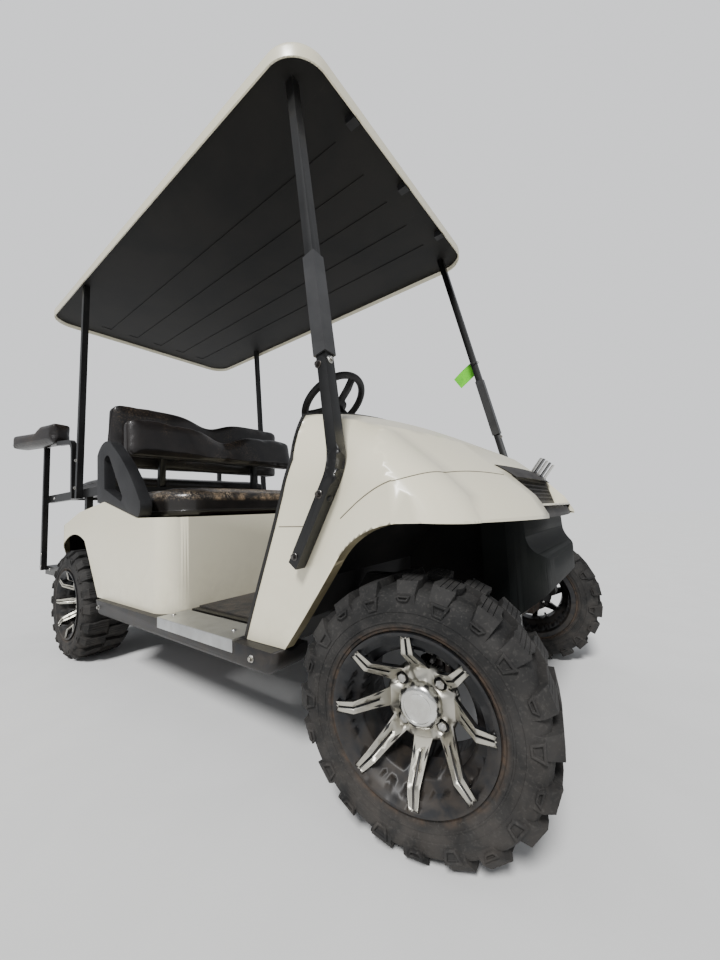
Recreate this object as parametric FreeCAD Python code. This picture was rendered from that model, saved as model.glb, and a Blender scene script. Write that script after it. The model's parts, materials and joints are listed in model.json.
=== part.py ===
import FreeCAD, Part
import math
import os

from FreeCAD import Placement, Rotation, Vector

# Golf cart with a rear-facing second seat. Millimetres, +X forward, +Y to the left, +Z up.
# The origin is on the ground, in the middle of the whole cart's box.

# Wheels and running gear
WHEELBASE = 1636.0
TYRE_RADIUS = 228.6
TYRE_WIDTH = 190.0
CARCASS_RADIUS = 212.0
LUG_PAIRS = 10
LUG_SHARE = 0.6
# Half a tread: distance from the middle, tip radius of long and short lugs, radius between them
TREAD_OUTLINES = [
    (3.0, TYRE_RADIUS, TYRE_RADIUS, 217.5),
    (73.0, TYRE_RADIUS - 1, TYRE_RADIUS - 1, 216.0),
    (TYRE_WIDTH / 2 - 2, 203.0, 212.0, 197.0)]
BEAD_RADIUS = 127.0
RIM_LIP_RADIUS = 143.5
RIM_LIP_INSET = 2.0
RIM_FLANGE = 10.0
RIM_WALL = 4.0
WELL_RADIUS = 108.0
HUB_RECESS = 75.0
HUB_RADIUS = 64.0
HUB_DISC = 18.0
CAP_BOSS = 20.0
CAP_BOSS_RADIUS = 34.0
HUB_LENGTH = 45.0
SPOKE_COUNT = 8
SPOKE_ROOT_WIDTH = 34.0
SPOKE_WIDTH = 21.0
SPOKE_TIP_WIDTH = 16.0
SPOKE_DEPTH = 16.0
SPOKE_BEND_RADIUS = 106.0
SPOKE_BEND_HEIGHT = -9.0
GROOVE_WIDTH = 4.0
GROOVE_DEPTH = 4.0
LUG_CIRCLE = 101.6
LUG_COUNT = 4
LUG_HOLE_RADIUS = 6.5
LUG_SEAT_RADIUS = 13.0
SPINDLE_RADIUS = 12.5
RUNNING_GAP = 0.3
FRONT_LIP_OFFSET = 150.0
KINGPIN_Y = 429.0
KINGPIN_RADIUS = 11.0
REAR_LIP_Y = 607.0
STEER_REST = 10.8
STEER_ARM_LENGTH = 70.0
STEER_ARM_END = 12.0
TIE_ROD_RADIUS = 8.0

# Front body, heights from the ground and distances from the front axle
COWL_WALL = 5.0
COWL_BOTTOM = 288.0
ARCH_TOP = 556.0
NOSE_REACH = 207.0
NOSE_CORNER_REACH = 141.0
NOSE_CORNER_Y = 480.0
COWL_SIDE_Y = 572.0
COWL_REAR_CENTRE = -314.0
COWL_REAR_SIDE = -239.0
TRIM_WIDTH = 9.0
TRIM_PROUD = 2.5

# Floor, rockers and frame
FLOOR_TOP = 292.0
FLOOR_SHEET = 5.0
MAT_THICKNESS = 4.0
FLOOR_HALF_WIDTH = 495.0
ROCKER_OUTSET = 20.0
ROCKER_TOP = 287.0
ROCKER_HEIGHT = 54.0
ROCKER_WIDTH = 95.0
RAIL_Y = 185.0
RAIL_WIDTH = 40.0
RAIL_BOTTOM = 215.0
RAIL_HEIGHT = FLOOR_TOP - FLOOR_SHEET - RAIL_BOTTOM
RAIL_KICK = 115.0
ACROSS = 900.0

# Rear body and seats, distances from the rear axle
BODY_WALL = 5.0
BODY_FRONT = 832.0
BODY_REAR = -238.0
BODY_BOTTOM = 287.0
SEAT_DECK = 583.0
SEAT_HALF_WIDTH = 525.0
SEAT_ROOM = 12.0
HIP_THICKNESS = 39.0
HIP_ROOM = 4.0
BODY_HALF_WIDTH = SEAT_HALF_WIDTH + SEAT_ROOM + HIP_THICKNESS + HIP_ROOM
ROCKER_Y = BODY_HALF_WIDTH + ROCKER_OUTSET
SEAT_FRONT = 777.0
SEAT_HINGE = 332.0
SEAT_THICKNESS = 103.0
BACK_HALF_WIDTH = SEAT_HALF_WIDTH - 40
REAR_SEAT_HINGE = -388.0
REAR_SEAT_FRONT = 5.0
REAR_SEAT_THICKNESS = 66.0

# Rear seat frame, posts and foot platform
SIDE_RAIL_WIDTH = 25.0
SIDE_RAIL_Y = SEAT_HALF_WIDTH - SIDE_RAIL_WIDTH / 2
REAR_SEAT_HALF_WIDTH = SIDE_RAIL_Y - SIDE_RAIL_WIDTH / 2 - 30
SIDE_RAIL_TOP = 734.0
REAR_SEAT_BOTTOM = SIDE_RAIL_TOP + RUNNING_GAP
SIDE_RAIL_HEIGHT = 40.0
SIDE_RAIL_FRONT = 30.0
SIDE_RAIL_REAR = -684.0
POST_X = -658.0
POST_SIDE = 25.0
POST_Y = SIDE_RAIL_Y + (SIDE_RAIL_WIDTH + POST_SIDE) / 2 + RUNNING_GAP
PLATFORM_TOP = 345.0
PLATFORM_DEPTH = 400.0
PAD_LENGTH = 400.0
PAD_WIDTH = 85.0
PAD_BOTTOM = 1010.0
PAD_HEIGHT = 75.0
PAD_SPLAY = 14.0
PAD_OUTSET = 30.0
PAD_ROUND = 12.0

# Roof and its struts
ROOF_BOTTOM = 1742.0
ROOF_HEIGHT = 58.0
ROOF_OVERHANG = 27.0
ROOF_HALF_WIDTH = SEAT_HALF_WIDTH + ROOF_OVERHANG
ROOF_FRONT = -210.0
ROOF_REAR = -635.0
ROOF_CORNER = 110.0
ROOF_WALL = 5.0
STRUT_SIDE = 25.4
SLEEVE_WALL = 4.0

# Steering wheel and column, from the front axle
STEERING_WHEEL_CENTRE = (-834.0, 270.0, 1130.0)
STEERING_WHEEL_RADIUS = 165.0
STEERING_RIM_RADIUS = 14.0
COLUMN_FOOT = (-184.0, 270.0, 350.0)
COLUMN_RADIUS = 22.0

STEER = math.radians(STEER_REST)
PAD_TURN = math.radians(PAD_SPLAY)
TYRE_CENTRE = FRONT_LIP_OFFSET - TYRE_WIDTH / 2
FRONT_REACH = max(long_tip * math.cos(STEER) + (TYRE_CENTRE + out) * math.sin(STEER)
                  for out, long_tip, *_ in TREAD_OUTLINES)
REAR_REACH = (-POST_X + PAD_ROUND + (PAD_LENGTH / 2 - PAD_ROUND) * math.cos(PAD_TURN)
              + (PAD_WIDTH / 2 - PAD_ROUND) * math.sin(PAD_TURN))
FRONT_AXLE_X = (WHEELBASE + REAR_REACH - FRONT_REACH) / 2
REAR_AXLE_X = FRONT_AXLE_X - WHEELBASE

RIGHT, LEFT = -1, 1


def fx(distance):
    return FRONT_AXLE_X + distance


def rx(distance):
    return REAR_AXLE_X + distance


def block(x, y, z):
    corner = Vector(min(x), min(y), min(z))
    return Part.makeBox(abs(x[1] - x[0]), abs(y[1] - y[0]), abs(z[1] - z[0]), corner)


def rod(start, end, radius):
    start, end = Vector(*start), Vector(*end)
    return Part.makeCylinder(radius, (end - start).Length, start, end - start)


def wire(points):
    """Closed wire; a point with a third value "arc" is the middle of an arc between its neighbours."""
    edges = []
    corners = [Vector(*p[:3]) for p in points]
    arcs = [len(p) > 3 for p in points]
    count = len(points)
    i = 0
    while i < count:
        nxt = (i + 1) % count
        if arcs[nxt]:
            after = (i + 2) % count
            edges.append(Part.Arc(corners[i], corners[nxt], corners[after]).toShape())
            i += 2
        else:
            edges.append(Part.LineSegment(corners[i], corners[nxt]).toShape())
            i += 1
    return Part.Wire(edges)


def side_plate(points, y):
    """Outline in X and Z, drawn across from y[0] to y[1]."""
    outline = wire([(p[0], y[0], p[1]) + tuple(p[2:]) for p in points])
    return Part.Face(outline).extrude(Vector(0, y[1] - y[0], 0))


def plan_plate(points, z):
    """Outline in X and Y, drawn up from z[0] to z[1]."""
    outline = wire([(p[0], p[1], z[0]) + tuple(p[2:]) for p in points])
    return Part.Face(outline).extrude(Vector(0, 0, z[1] - z[0]))


def front_plate(points, x):
    """Outline in Y and Z, drawn forward from x[0] to x[1]."""
    outline = wire([(x[0], p[0], p[1]) + tuple(p[2:]) for p in points])
    return Part.Face(outline).extrude(Vector(x[1] - x[0], 0, 0))


def bent_line(points, radius):
    """Straight runs through the points, with each corner rounded to the radius."""
    edges, start = [], Vector(*points[0])
    for before, corner, after in zip(points, points[1:], points[2:]):
        corner = Vector(*corner)
        into, out = (corner - Vector(*before)).normalize(), (Vector(*after) - corner).normalize()
        half_turn = into.getAngle(out) / 2
        reach = radius * math.tan(half_turn)
        inward = (out - into).normalize()
        middle = corner + inward * (radius / math.cos(half_turn) - radius)
        edges.append(Part.LineSegment(start, corner - into * reach).toShape())
        edges.append(Part.Arc(corner - into * reach, middle, corner + out * reach).toShape())
        start = corner + out * reach
    edges.append(Part.LineSegment(start, Vector(*points[-1])).toShape())
    return Part.Wire(edges)


def bar(points, width, depth, bend=1.0):
    """Rectangular bar along a bent line; width is across Y."""
    path = bent_line(points, bend)
    start, along = Vector(*points[0]), Vector(*points[1]) - Vector(*points[0])
    along.normalize()
    across = Vector(0, 1, 0) - along * along.y
    across.normalize()
    up = along.cross(across)
    corners = [start + across * (a * width / 2) + up * (b * depth / 2)
               for a, b in ((-1, -1), (1, -1), (1, 1), (-1, 1), (-1, -1))]
    return path.makePipeShell([Part.makePolygon(corners)], True, False, 1)


def mirrored(shape):
    return shape.mirror(Vector(0, 0, 0), Vector(0, 1, 0))


def both_sides(shape):
    return Part.makeCompound([shape, mirrored(shape)])


def fuse(shapes):
    result = shapes[0].fuse(shapes[1:]) if len(shapes) > 1 else shapes[0]
    return result.removeSplitter()


def revolved(profile, turn=360):
    """Profile of (radius, height) points turned about the Z axis."""
    outline = wire([(p[0], 0, p[1]) + tuple(p[2:]) for p in profile])
    return Part.Face(outline).revolve(Vector(0, 0, 0), Vector(0, 0, 1), turn)


os.makedirs("parts", exist_ok=True)


def save(node, shape):
    shape.exportStep("parts/" + node + ".step")


def around(tool, count, start=0.0):
    """Copies of a tool spread evenly about the Z axis."""
    copies = []
    for i in range(count):
        copy = tool.copy()
        copy.rotate(Vector(0, 0, 0), Vector(0, 0, 1), start + i * 360 / count)
        copies.append(copy)
    return copies


# Wheels and tyres, made with the outside towards +Z and the outer lip plane at Z = 0.
def tread_outline(height, long_tip, short_tip, root):
    pitch = 180 / LUG_PAIRS
    half = pitch * LUG_SHARE / 2
    points = []
    for i in range(2 * LUG_PAIRS):
        tip = short_tip if i % 2 else long_tip
        for radius, angle in ((root, -half), (tip, -half), (tip, 0), (tip, half), (root, half)):
            at = math.radians(i * pitch + angle)
            points.append(Vector(radius * math.cos(at), radius * math.sin(at), height))
    return Part.makePolygon(points + points[:1])


def tyre():
    half = TYRE_WIDTH / 2
    lip = RIM_LIP_RADIUS + RUNNING_GAP
    bead = BEAD_RADIUS + RUNNING_GAP
    bead_half = half - RIM_LIP_INSET - RIM_FLANGE - 2 * RUNNING_GAP
    wall = CARCASS_RADIUS - 34
    side = [(CARCASS_RADIUS, half - 25), (CARCASS_RADIUS - 12, half - 9), (wall, half - 3, "arc"),
            (lip + 3, half - 9), (lip, bead_half), (bead, bead_half)]
    other = [(p[0], -p[1]) + tuple(p[2:]) for p in reversed(side)]
    halves = [Part.makeLoft([tread_outline(*row) for row in TREAD_OUTLINES], True, True)]
    halves.append(halves[0].mirror(Vector(0, 0, 0), Vector(0, 0, 1)))
    halves[1].rotate(Vector(0, 0, 0), Vector(0, 0, 1), 90 / LUG_PAIRS)
    core = revolved([(CARCASS_RADIUS - 20, -8), (CARCASS_RADIUS + 4, -8), (CARCASS_RADIUS + 4, 8),
                     (CARCASS_RADIUS - 20, 8)])
    bore = Part.makeCylinder(wall, 2 * half, Vector(0, 0, -half))
    whole = revolved(side + other).fuse([piece.cut(bore) for piece in halves] + [core])
    whole.translate(Vector(0, 0, -half))
    return whole


def wheel():
    depth = TYRE_WIDTH
    inner = BEAD_RADIUS - RIM_WALL
    outer_edge, inner_edge = -RIM_LIP_INSET, -depth + RIM_LIP_INSET
    outer_seat, inner_seat = outer_edge - RIM_FLANGE, inner_edge + RIM_FLANGE
    barrel = revolved([
        (RIM_LIP_RADIUS, outer_edge), (RIM_LIP_RADIUS, outer_seat), (BEAD_RADIUS, outer_seat),
        (BEAD_RADIUS, outer_seat - 24), (WELL_RADIUS, outer_seat - 34), (WELL_RADIUS, outer_seat - 78),
        (BEAD_RADIUS, outer_seat - 88), (BEAD_RADIUS, inner_seat), (RIM_LIP_RADIUS, inner_seat),
        (RIM_LIP_RADIUS, inner_edge), (inner + 6, inner_edge), (inner, inner_edge + 8),
        (inner, outer_seat - 92), (WELL_RADIUS - RIM_WALL, outer_seat - 82),
        (WELL_RADIUS - RIM_WALL, outer_seat - 30), (inner, outer_seat - 20), (inner, outer_seat + 2),
        (RIM_LIP_RADIUS - 9, outer_seat + 2), (RIM_LIP_RADIUS - 5, outer_edge)])
    face, back = -HUB_RECESS, -HUB_RECESS - HUB_DISC
    bore = SPINDLE_RADIUS + RUNNING_GAP
    hub = revolved([
        (0, face + CAP_BOSS), (CAP_BOSS_RADIUS - 4, face + CAP_BOSS), (CAP_BOSS_RADIUS, face),
        (HUB_RADIUS, face), (HUB_RADIUS + 4, face - 5), (HUB_RADIUS + 4, back), (38, back - 4),
        (34, face - HUB_LENGTH), (bore, face - HUB_LENGTH), (bore, face), (0, face)])
    root, bend, tip = HUB_RADIUS - 4, SPOKE_BEND_RADIUS, RIM_LIP_RADIUS - 5
    sections = []
    for radius, height, width, thick in (
            (root, face, SPOKE_ROOT_WIDTH, SPOKE_DEPTH),
            (bend, SPOKE_BEND_HEIGHT, SPOKE_WIDTH, SPOKE_DEPTH),
            (tip, outer_edge - 1, SPOKE_TIP_WIDTH, RIM_FLANGE)):
        sections.append(Part.makePolygon([Vector(radius, y * width / 2, height - z * thick)
                                          for y, z in ((-1, 0), (1, 0), (0.8, 1), (-0.8, 1), (-1, 0))]))
    bead_room = revolved([
        (BEAD_RADIUS, outer_seat), (TYRE_RADIUS, outer_seat), (TYRE_RADIUS, face), (BEAD_RADIUS, face)])
    spoke = Part.makeLoft(sections, True, True).cut(bead_room)
    groove = side_plate([
        (root + 14, face + 14), (bend, SPOKE_BEND_HEIGHT - GROOVE_DEPTH),
        (tip - 4, outer_edge - 1 - GROOVE_DEPTH), (tip - 4, 10), (root + 14, 10)],
        (-GROOVE_WIDTH / 2, GROOVE_WIDTH / 2))
    whole = fuse([barrel, hub] + around(spoke.cut(groove), SPOKE_COUNT))
    lug = rod((LUG_CIRCLE / 2, 0, back - 10), (LUG_CIRCLE / 2, 0, 0), LUG_HOLE_RADIUS)
    seat = rod((LUG_CIRCLE / 2, 0, face - 7), (LUG_CIRCLE / 2, 0, face + 20), LUG_SEAT_RADIUS)
    return whole.cut(around(lug.fuse(seat), LUG_COUNT, 180 / LUG_COUNT))


def placed(shape, side, steer, x, y):
    """Turn a piece that faces +Z to face out to one side, then steer it and move it to its lip plane."""
    upright = Rotation(Vector(1, 0, 0), -90 * side)
    steered = Rotation(Vector(0, 0, 1), steer)
    place = Placement(Vector(x, y, TYRE_RADIUS), steered.multiply(upright))
    copy = shape.copy()
    copy.Placement = place.multiply(shape.Placement)
    return copy


def lip_place(side):
    return (fx(-side * FRONT_LIP_OFFSET * math.sin(STEER)),
            side * (KINGPIN_Y + FRONT_LIP_OFFSET * math.cos(STEER)))


TYRE, WHEEL = tyre(), wheel()
for side, name in ((RIGHT, "right"), (LEFT, "left")):
    x, y = lip_place(side)
    save("tyre_front_" + name, placed(TYRE, side, STEER_REST, x, y))
    save("wheel_front_" + name, placed(WHEEL, side, STEER_REST, x, y))
    save("tyre_rear_" + name, placed(TYRE, side, 0, rx(0), side * REAR_LIP_Y))
    save("wheel_rear_" + name, placed(WHEEL, side, 0, rx(0), side * REAR_LIP_Y))

# Steering knuckles, made straight ahead on a kingpin at the origin, at hub height
KNUCKLE_RADIUS = 24.0
KNUCKLE_HEIGHT = 76.0
EAR_THICKNESS = 14.0
KINGPIN_HEIGHT = KNUCKLE_HEIGHT + 2 * EAR_THICKNESS + 12


def knuckle(side):
    height, ears = KNUCKLE_HEIGHT / 2, KINGPIN_HEIGHT / 2
    spindle_end = FRONT_LIP_OFFSET - HUB_RECESS - 4
    arm_z = -height
    pieces = [
        rod((0, 0, -height), (0, 0, height), KNUCKLE_RADIUS),
        rod((0, 0, -ears), (0, 0, ears), KINGPIN_RADIUS),
        rod((0, 0, 0), (0, side * spindle_end, 0), SPINDLE_RADIUS),
        plan_plate([(8, STEER_ARM_END), (8, -STEER_ARM_END), (-STEER_ARM_LENGTH, -STEER_ARM_END),
                    (-STEER_ARM_LENGTH - STEER_ARM_END, 0, "arc"),
                    (-STEER_ARM_LENGTH, STEER_ARM_END)], (arm_z, arm_z + 10))]
    whole = fuse(pieces)
    joint = rod((-STEER_ARM_LENGTH, 0, arm_z - 5), (-STEER_ARM_LENGTH, 0, arm_z + 20),
                TIE_ROD_RADIUS + RUNNING_GAP)
    whole = whole.cut(joint)
    whole.rotate(Vector(0, 0, 0), Vector(0, 0, 1), STEER_REST)
    whole.translate(Vector(fx(0), side * KINGPIN_Y, TYRE_RADIUS))
    return whole


save("knuckle_right", knuckle(RIGHT))
save("knuckle_left", knuckle(LEFT))


def arm_end(side):
    """Centre of the tie rod's joint on one steering arm, as the wheels rest."""
    return (fx(-STEER_ARM_LENGTH * math.cos(STEER)),
            side * KINGPIN_Y - STEER_ARM_LENGTH * math.sin(STEER))


TIE_ROD_Z = TYRE_RADIUS - KNUCKLE_HEIGHT / 2 - 14
ends = [arm_end(RIGHT), arm_end(LEFT)]
tie = [rod(ends[0] + (TIE_ROD_Z,), ends[1] + (TIE_ROD_Z,), TIE_ROD_RADIUS)]
tie += [rod(end + (TIE_ROD_Z - 11,), end + (TIE_ROD_Z + 13,), STEER_ARM_END) for end in ends]
tie += [rod(end + (TIE_ROD_Z,), end + (TIE_ROD_Z + 24,), TIE_ROD_RADIUS) for end in ends]
save("tie_rod", fuse(tie))

# Leaf springs: how far up from the axle's centre they sit, and where they run
LEAF_WIDTH = 38.0
LEAF_COUNT = 3
LEAF_THICKNESS = 6.0
LEAF_STEP = 0.22
SPRING_EYE_RADIUS = 13.0
AXLE_PAD = 30.0
FRONT_SPRING_Y = 224.0
REAR_SPRING_Y = 300.0
FRONT_SPRING_REACH = 110.0
REAR_SPRING_REACH = 215.0

# Front axle beam with an ear above and below each knuckle
EAR_GAP = 0.5
ear_low = KNUCKLE_HEIGHT / 2 + EAR_GAP
beam = [block((fx(-19), fx(19)), (-KINGPIN_Y + 62, KINGPIN_Y - 62), (TYRE_RADIUS - 19, TYRE_RADIUS + 19))]
for side in (RIGHT, LEFT):
    upright_y = side * (KINGPIN_Y - 48)
    beam.append(block((fx(-14), fx(14)), (upright_y - 15, upright_y + 15),
                      (TYRE_RADIUS - ear_low - EAR_THICKNESS, TYRE_RADIUS + ear_low + EAR_THICKNESS)))
    spring_y = side * FRONT_SPRING_Y
    beam.append(block((fx(-30), fx(30)), (spring_y - 22, spring_y + 22),
                      (TYRE_RADIUS, TYRE_RADIUS + AXLE_PAD - RUNNING_GAP)))
    for low in (-ear_low - EAR_THICKNESS, ear_low):
        beam.append(block((fx(-14), fx(14)), (upright_y, side * KINGPIN_Y),
                          (TYRE_RADIUS + low, TYRE_RADIUS + low + EAR_THICKNESS)))
        beam.append(rod((fx(0), side * KINGPIN_Y, TYRE_RADIUS + low),
                        (fx(0), side * KINGPIN_Y, TYRE_RADIUS + low + EAR_THICKNESS), 21))
axle = fuse(beam)
for side in (RIGHT, LEFT):
    axle = axle.cut(rod((fx(0), side * KINGPIN_Y, 100), (fx(0), side * KINGPIN_Y, 400),
                        KINGPIN_RADIUS + RUNNING_GAP))
save("front_axle", axle)

# Frame: two rails that rise over each axle, and the tubes between and outside them
RAIL_TOP = RAIL_BOTTOM + RAIL_HEIGHT
KICK_BOTTOM, KICK_TOP = RAIL_BOTTOM + RAIL_KICK, RAIL_TOP + RAIL_KICK
FRONT_KICK = (-384.0, -304.0)
REAR_KICK = (282.0, 202.0)
FRAME_FRONT = 160.0
FRAME_REAR = -228.0
rail = side_plate([
    (rx(FRAME_REAR), KICK_BOTTOM), (rx(REAR_KICK[1]), KICK_BOTTOM), (rx(REAR_KICK[0]), RAIL_BOTTOM),
    (fx(FRONT_KICK[0]), RAIL_BOTTOM), (fx(FRONT_KICK[1]), KICK_BOTTOM), (fx(FRAME_FRONT), KICK_BOTTOM),
    (fx(FRAME_FRONT), KICK_TOP - 10), (fx(FRONT_KICK[1] - 15), KICK_TOP - 10),
    (fx(FRONT_KICK[0] - 12), RAIL_TOP), (rx(REAR_KICK[0] + 20), RAIL_TOP),
    (rx(REAR_KICK[1] + 15), KICK_TOP - 10), (rx(FRAME_REAR), KICK_TOP - 10)],
    (RAIL_Y - RAIL_WIDTH / 2, RAIL_Y + RAIL_WIDTH / 2))
# The front ends are cut away under the apron and reach it with two tabs
front_room = side_plate([(fx(105), KICK_BOTTOM - 5), (fx(FRAME_FRONT + 5), KICK_BOTTOM + 45),
                         (fx(FRAME_FRONT + 5), KICK_BOTTOM - 5)], (-ACROSS, ACROSS))
APRON_SEAT = block((fx(FRAME_FRONT) - 5, fx(NOSE_REACH)), (RAIL_Y - 15, RAIL_Y + 15),
                   (KICK_BOTTOM + 48, KICK_TOP - 10))
rail = rail.cut(front_room)

# Cross tubes: place along the frame, bottom and top, and how far they reach from the centre
inside, outside = RAIL_Y - RAIL_WIDTH / 2, RAIL_Y + RAIL_WIDTH / 2
CROSS_DEPTH = 40.0
crosses = [
    (fx(FRAME_FRONT - CROSS_DEPTH), KICK_BOTTOM, KICK_TOP - 10),
    (fx(FRONT_KICK[0] - 70), RAIL_BOTTOM, RAIL_TOP),
    (rx(BODY_FRONT - 60), RAIL_BOTTOM, RAIL_TOP),
    (rx(REAR_KICK[0] + 40), RAIL_BOTTOM, RAIL_TOP),
    (rx(FRAME_REAR), KICK_BOTTOM, KICK_TOP - 10)]
tubes = [block((x, x + CROSS_DEPTH), (-inside, inside), (low, high)) for x, low, high in crosses]
for x in (fx(FRONT_KICK[0] - 70), rx(BODY_FRONT - 60), rx(REAR_KICK[0] + 40)):
    outrigger = block((x, x + CROSS_DEPTH), (outside, ROCKER_Y - ROCKER_WIDTH),
                      (RAIL_BOTTOM + 20, RAIL_TOP))
    tubes += [outrigger, mirrored(outrigger)]
tubes[0] = tubes[0].cut(front_room)
save("frame_crossmembers", Part.makeCompound(tubes))


def leaf_spring(x, reach, y):
    """A pack of leaves bent about one centre, each shorter than the one above it."""
    low = TYRE_RADIUS + AXLE_PAD
    high = KICK_BOTTOM - 26
    rise = high - low - LEAF_COUNT * LEAF_THICKNESS
    inner = (reach ** 2 + rise ** 2) / (2 * rise)
    centre = low + LEAF_COUNT * LEAF_THICKNESS + inner
    y_ends = (y - LEAF_WIDTH / 2, y + LEAF_WIDTH / 2)
    pieces = []
    for i in range(LEAF_COUNT):
        run = reach * (1 - LEAF_STEP * i)
        top, under = inner + i * LEAF_THICKNESS, inner + (i + 1) * LEAF_THICKNESS
        top_end, under_end = (centre - math.sqrt(radius ** 2 - run ** 2) for radius in (top, under))
        pieces.append(side_plate([(x - run, under_end), (x, centre - under, "arc"), (x + run, under_end),
                                  (x + run, top_end), (x, centre - top, "arc"), (x - run, top_end)], y_ends))
    eye_z = high - LEAF_THICKNESS
    for end in (-reach, reach):
        pieces.append(rod((x + end, y_ends[0], eye_z), (x + end, y_ends[1], eye_z), SPRING_EYE_RADIUS))
        pieces.append(block((x + end - 12, x + end + 12), (outside, y + LEAF_WIDTH / 2),
                            (high - 8, KICK_BOTTOM + 30)))
    return fuse(pieces)


save("leaf_springs", Part.makeCompound([
    both_sides(leaf_spring(fx(0), FRONT_SPRING_REACH, FRONT_SPRING_Y)),
    both_sides(leaf_spring(rx(0), REAR_SPRING_REACH, REAR_SPRING_Y))]))

# Rear axle: tube, gear housing, brake backing plates, spindles and spring seats
AXLE_TUBE_RADIUS = 27.0
HOUSING_RADIUS = 88.0
BACKING_RADIUS = 92.0
MOTOR_AHEAD = 150.0
MOTOR_RADIUS = 80.0
REAR_HUB_Y = REAR_LIP_Y - HUB_RECESS
backing_y = REAR_HUB_Y - HUB_LENGTH - 12
rear_axle = [rod((rx(0), -backing_y, TYRE_RADIUS), (rx(0), backing_y, TYRE_RADIUS), AXLE_TUBE_RADIUS)]
rear_axle.append(rod((rx(0), -20, TYRE_RADIUS), (rx(0), 70, TYRE_RADIUS), HOUSING_RADIUS))
rear_axle.append(rod((rx(MOTOR_AHEAD), -20, TYRE_RADIUS), (rx(MOTOR_AHEAD), 30, TYRE_RADIUS), 62))
rear_axle.append(block((rx(0), rx(MOTOR_AHEAD)), (-20, 30), (TYRE_RADIUS - 55, TYRE_RADIUS + 55)))
for side in (RIGHT, LEFT):
    y = side * backing_y
    hub_y = side * (REAR_HUB_Y - 4)
    rear_axle.append(rod((rx(0), y - side * 6, TYRE_RADIUS), (rx(0), y + side * 8, TYRE_RADIUS),
                         BACKING_RADIUS))
    rear_axle.append(rod((rx(0), y, TYRE_RADIUS), (rx(0), hub_y, TYRE_RADIUS), SPINDLE_RADIUS))
    seat_y = side * REAR_SPRING_Y
    rear_axle.append(block((rx(-30), rx(30)), (seat_y - 25, seat_y + 25),
                           (TYRE_RADIUS, TYRE_RADIUS + AXLE_PAD - RUNNING_GAP)))
save("rear_axle", fuse(rear_axle))
save("drive_motor", rod((rx(MOTOR_AHEAD), -20, TYRE_RADIUS), (rx(MOTOR_AHEAD), -265, TYRE_RADIUS),
                        MOTOR_RADIUS))

# Battery pack on the rails, under the seat
BATTERY = ((rx(395), rx(775)), (-400, 400), (RAIL_TOP, RAIL_TOP + 265))
BATTERY_ROOM = 4.0
save("battery_pack", block(*BATTERY))

# Front cowl: distance from the front axle, side, shoulder, side top, shoulder height, crown height
COWL_STATIONS = [
    (-424.0, 572.0, 515.0, 620.0, 860.0, 935.0),
    (-304.0, 572.0, 510.0, 620.0, 822.0, 886.0),
    (-184.0, 576.0, 505.0, 625.0, 796.0, 842.0),
    (-54.0, 590.0, 490.0, 630.0, 756.0, 780.0),
    (76.0, 590.0, 470.0, 630.0, 705.0, 710.0),
    (166.0, 585.0, 450.0, 600.0, 638.0, 646.0),
    (226.0, 570.0, 430.0, 540.0, 565.0, 572.0)]
COWL_LOW = 200.0
SHOULDER_OUT, SHOULDER_UP = 0.72, 0.62


def cowl_solid(inset):
    sections = []
    for distance, side_y, shoulder_y, side_z, shoulder_z, crown_z in COWL_STATIONS:
        side_y, shoulder_y = side_y - inset, shoulder_y - inset
        side_z, shoulder_z, crown_z = side_z - inset / 2, shoulder_z - inset, crown_z - inset
        middle_y = shoulder_y + (side_y - shoulder_y) * SHOULDER_OUT
        middle_z = side_z + (shoulder_z - side_z) * SHOULDER_UP
        x = fx(distance)
        sections.append(wire([
            (x, side_y, COWL_LOW), (x, side_y, side_z), (x, middle_y, middle_z, "arc"),
            (x, shoulder_y, shoulder_z), (x, 0, crown_z, "arc"), (x, -shoulder_y, shoulder_z),
            (x, -middle_y, middle_z, "arc"), (x, -side_y, side_z), (x, -side_y, COWL_LOW)]))
    return Part.makeLoft(sections, True, False)


# How far the nose's outline is pulled back at each height
NOSE_PULL = [(556.0, 0.0), (600.0, 24.0), (660.0, 80.0), (740.0, 172.0), (1100.0, 600.0)]


def nose_solid(inset):
    """Everything behind the nose: its bowed plan, pulled back with height, and inwards by inset."""
    sections = []
    for z, pull in [(COWL_LOW - 10, 0.0)] + NOSE_PULL:
        back, front, corner = fx(-500) - pull, -inset - pull, 0.7 * inset
        half = [(back, -ACROSS), (fx(46 + front), -ACROSS), (fx(46 + front), -COWL_SIDE_Y - 30),
                (fx(111 - pull) - corner, -565 + corner, "arc"),
                (fx(NOSE_CORNER_REACH + front), -NOSE_CORNER_Y)]
        other = [(q[0], -q[1]) + q[2:] for q in reversed(half)]
        outline = half + [(fx(NOSE_REACH + front), 0, "arc")] + other
        sections.append(wire([q[:2] + (z,) + q[2:] for q in outline]))
    return Part.makeLoft(sections, True, True)


def rear_edge(shift):
    """Everything behind the cowl's rear edge: a sloping cut at the sides and a bowed one above."""
    low, high, break_z = 150.0, 1100.0, 700.0
    back = fx(-600)
    edge = fx(COWL_REAR_SIDE) + shift
    slope = [(back, low), (fx(-452) + shift, low), (fx(-409) + shift, COWL_BOTTOM),
             (fx(-297) + shift, 555.0), (edge, break_z), (back, break_z)]
    bow = [(back, -ACROSS), (edge, -ACROSS), (edge, -COWL_SIDE_Y),
           (fx(COWL_REAR_CENTRE) + shift, 0, "arc"), (edge, COWL_SIDE_Y), (edge, ACROSS), (back, ACROSS)]
    return side_plate(slope, (-ACROSS, ACROSS)).fuse(plan_plate(bow, (break_z, high)))


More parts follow.
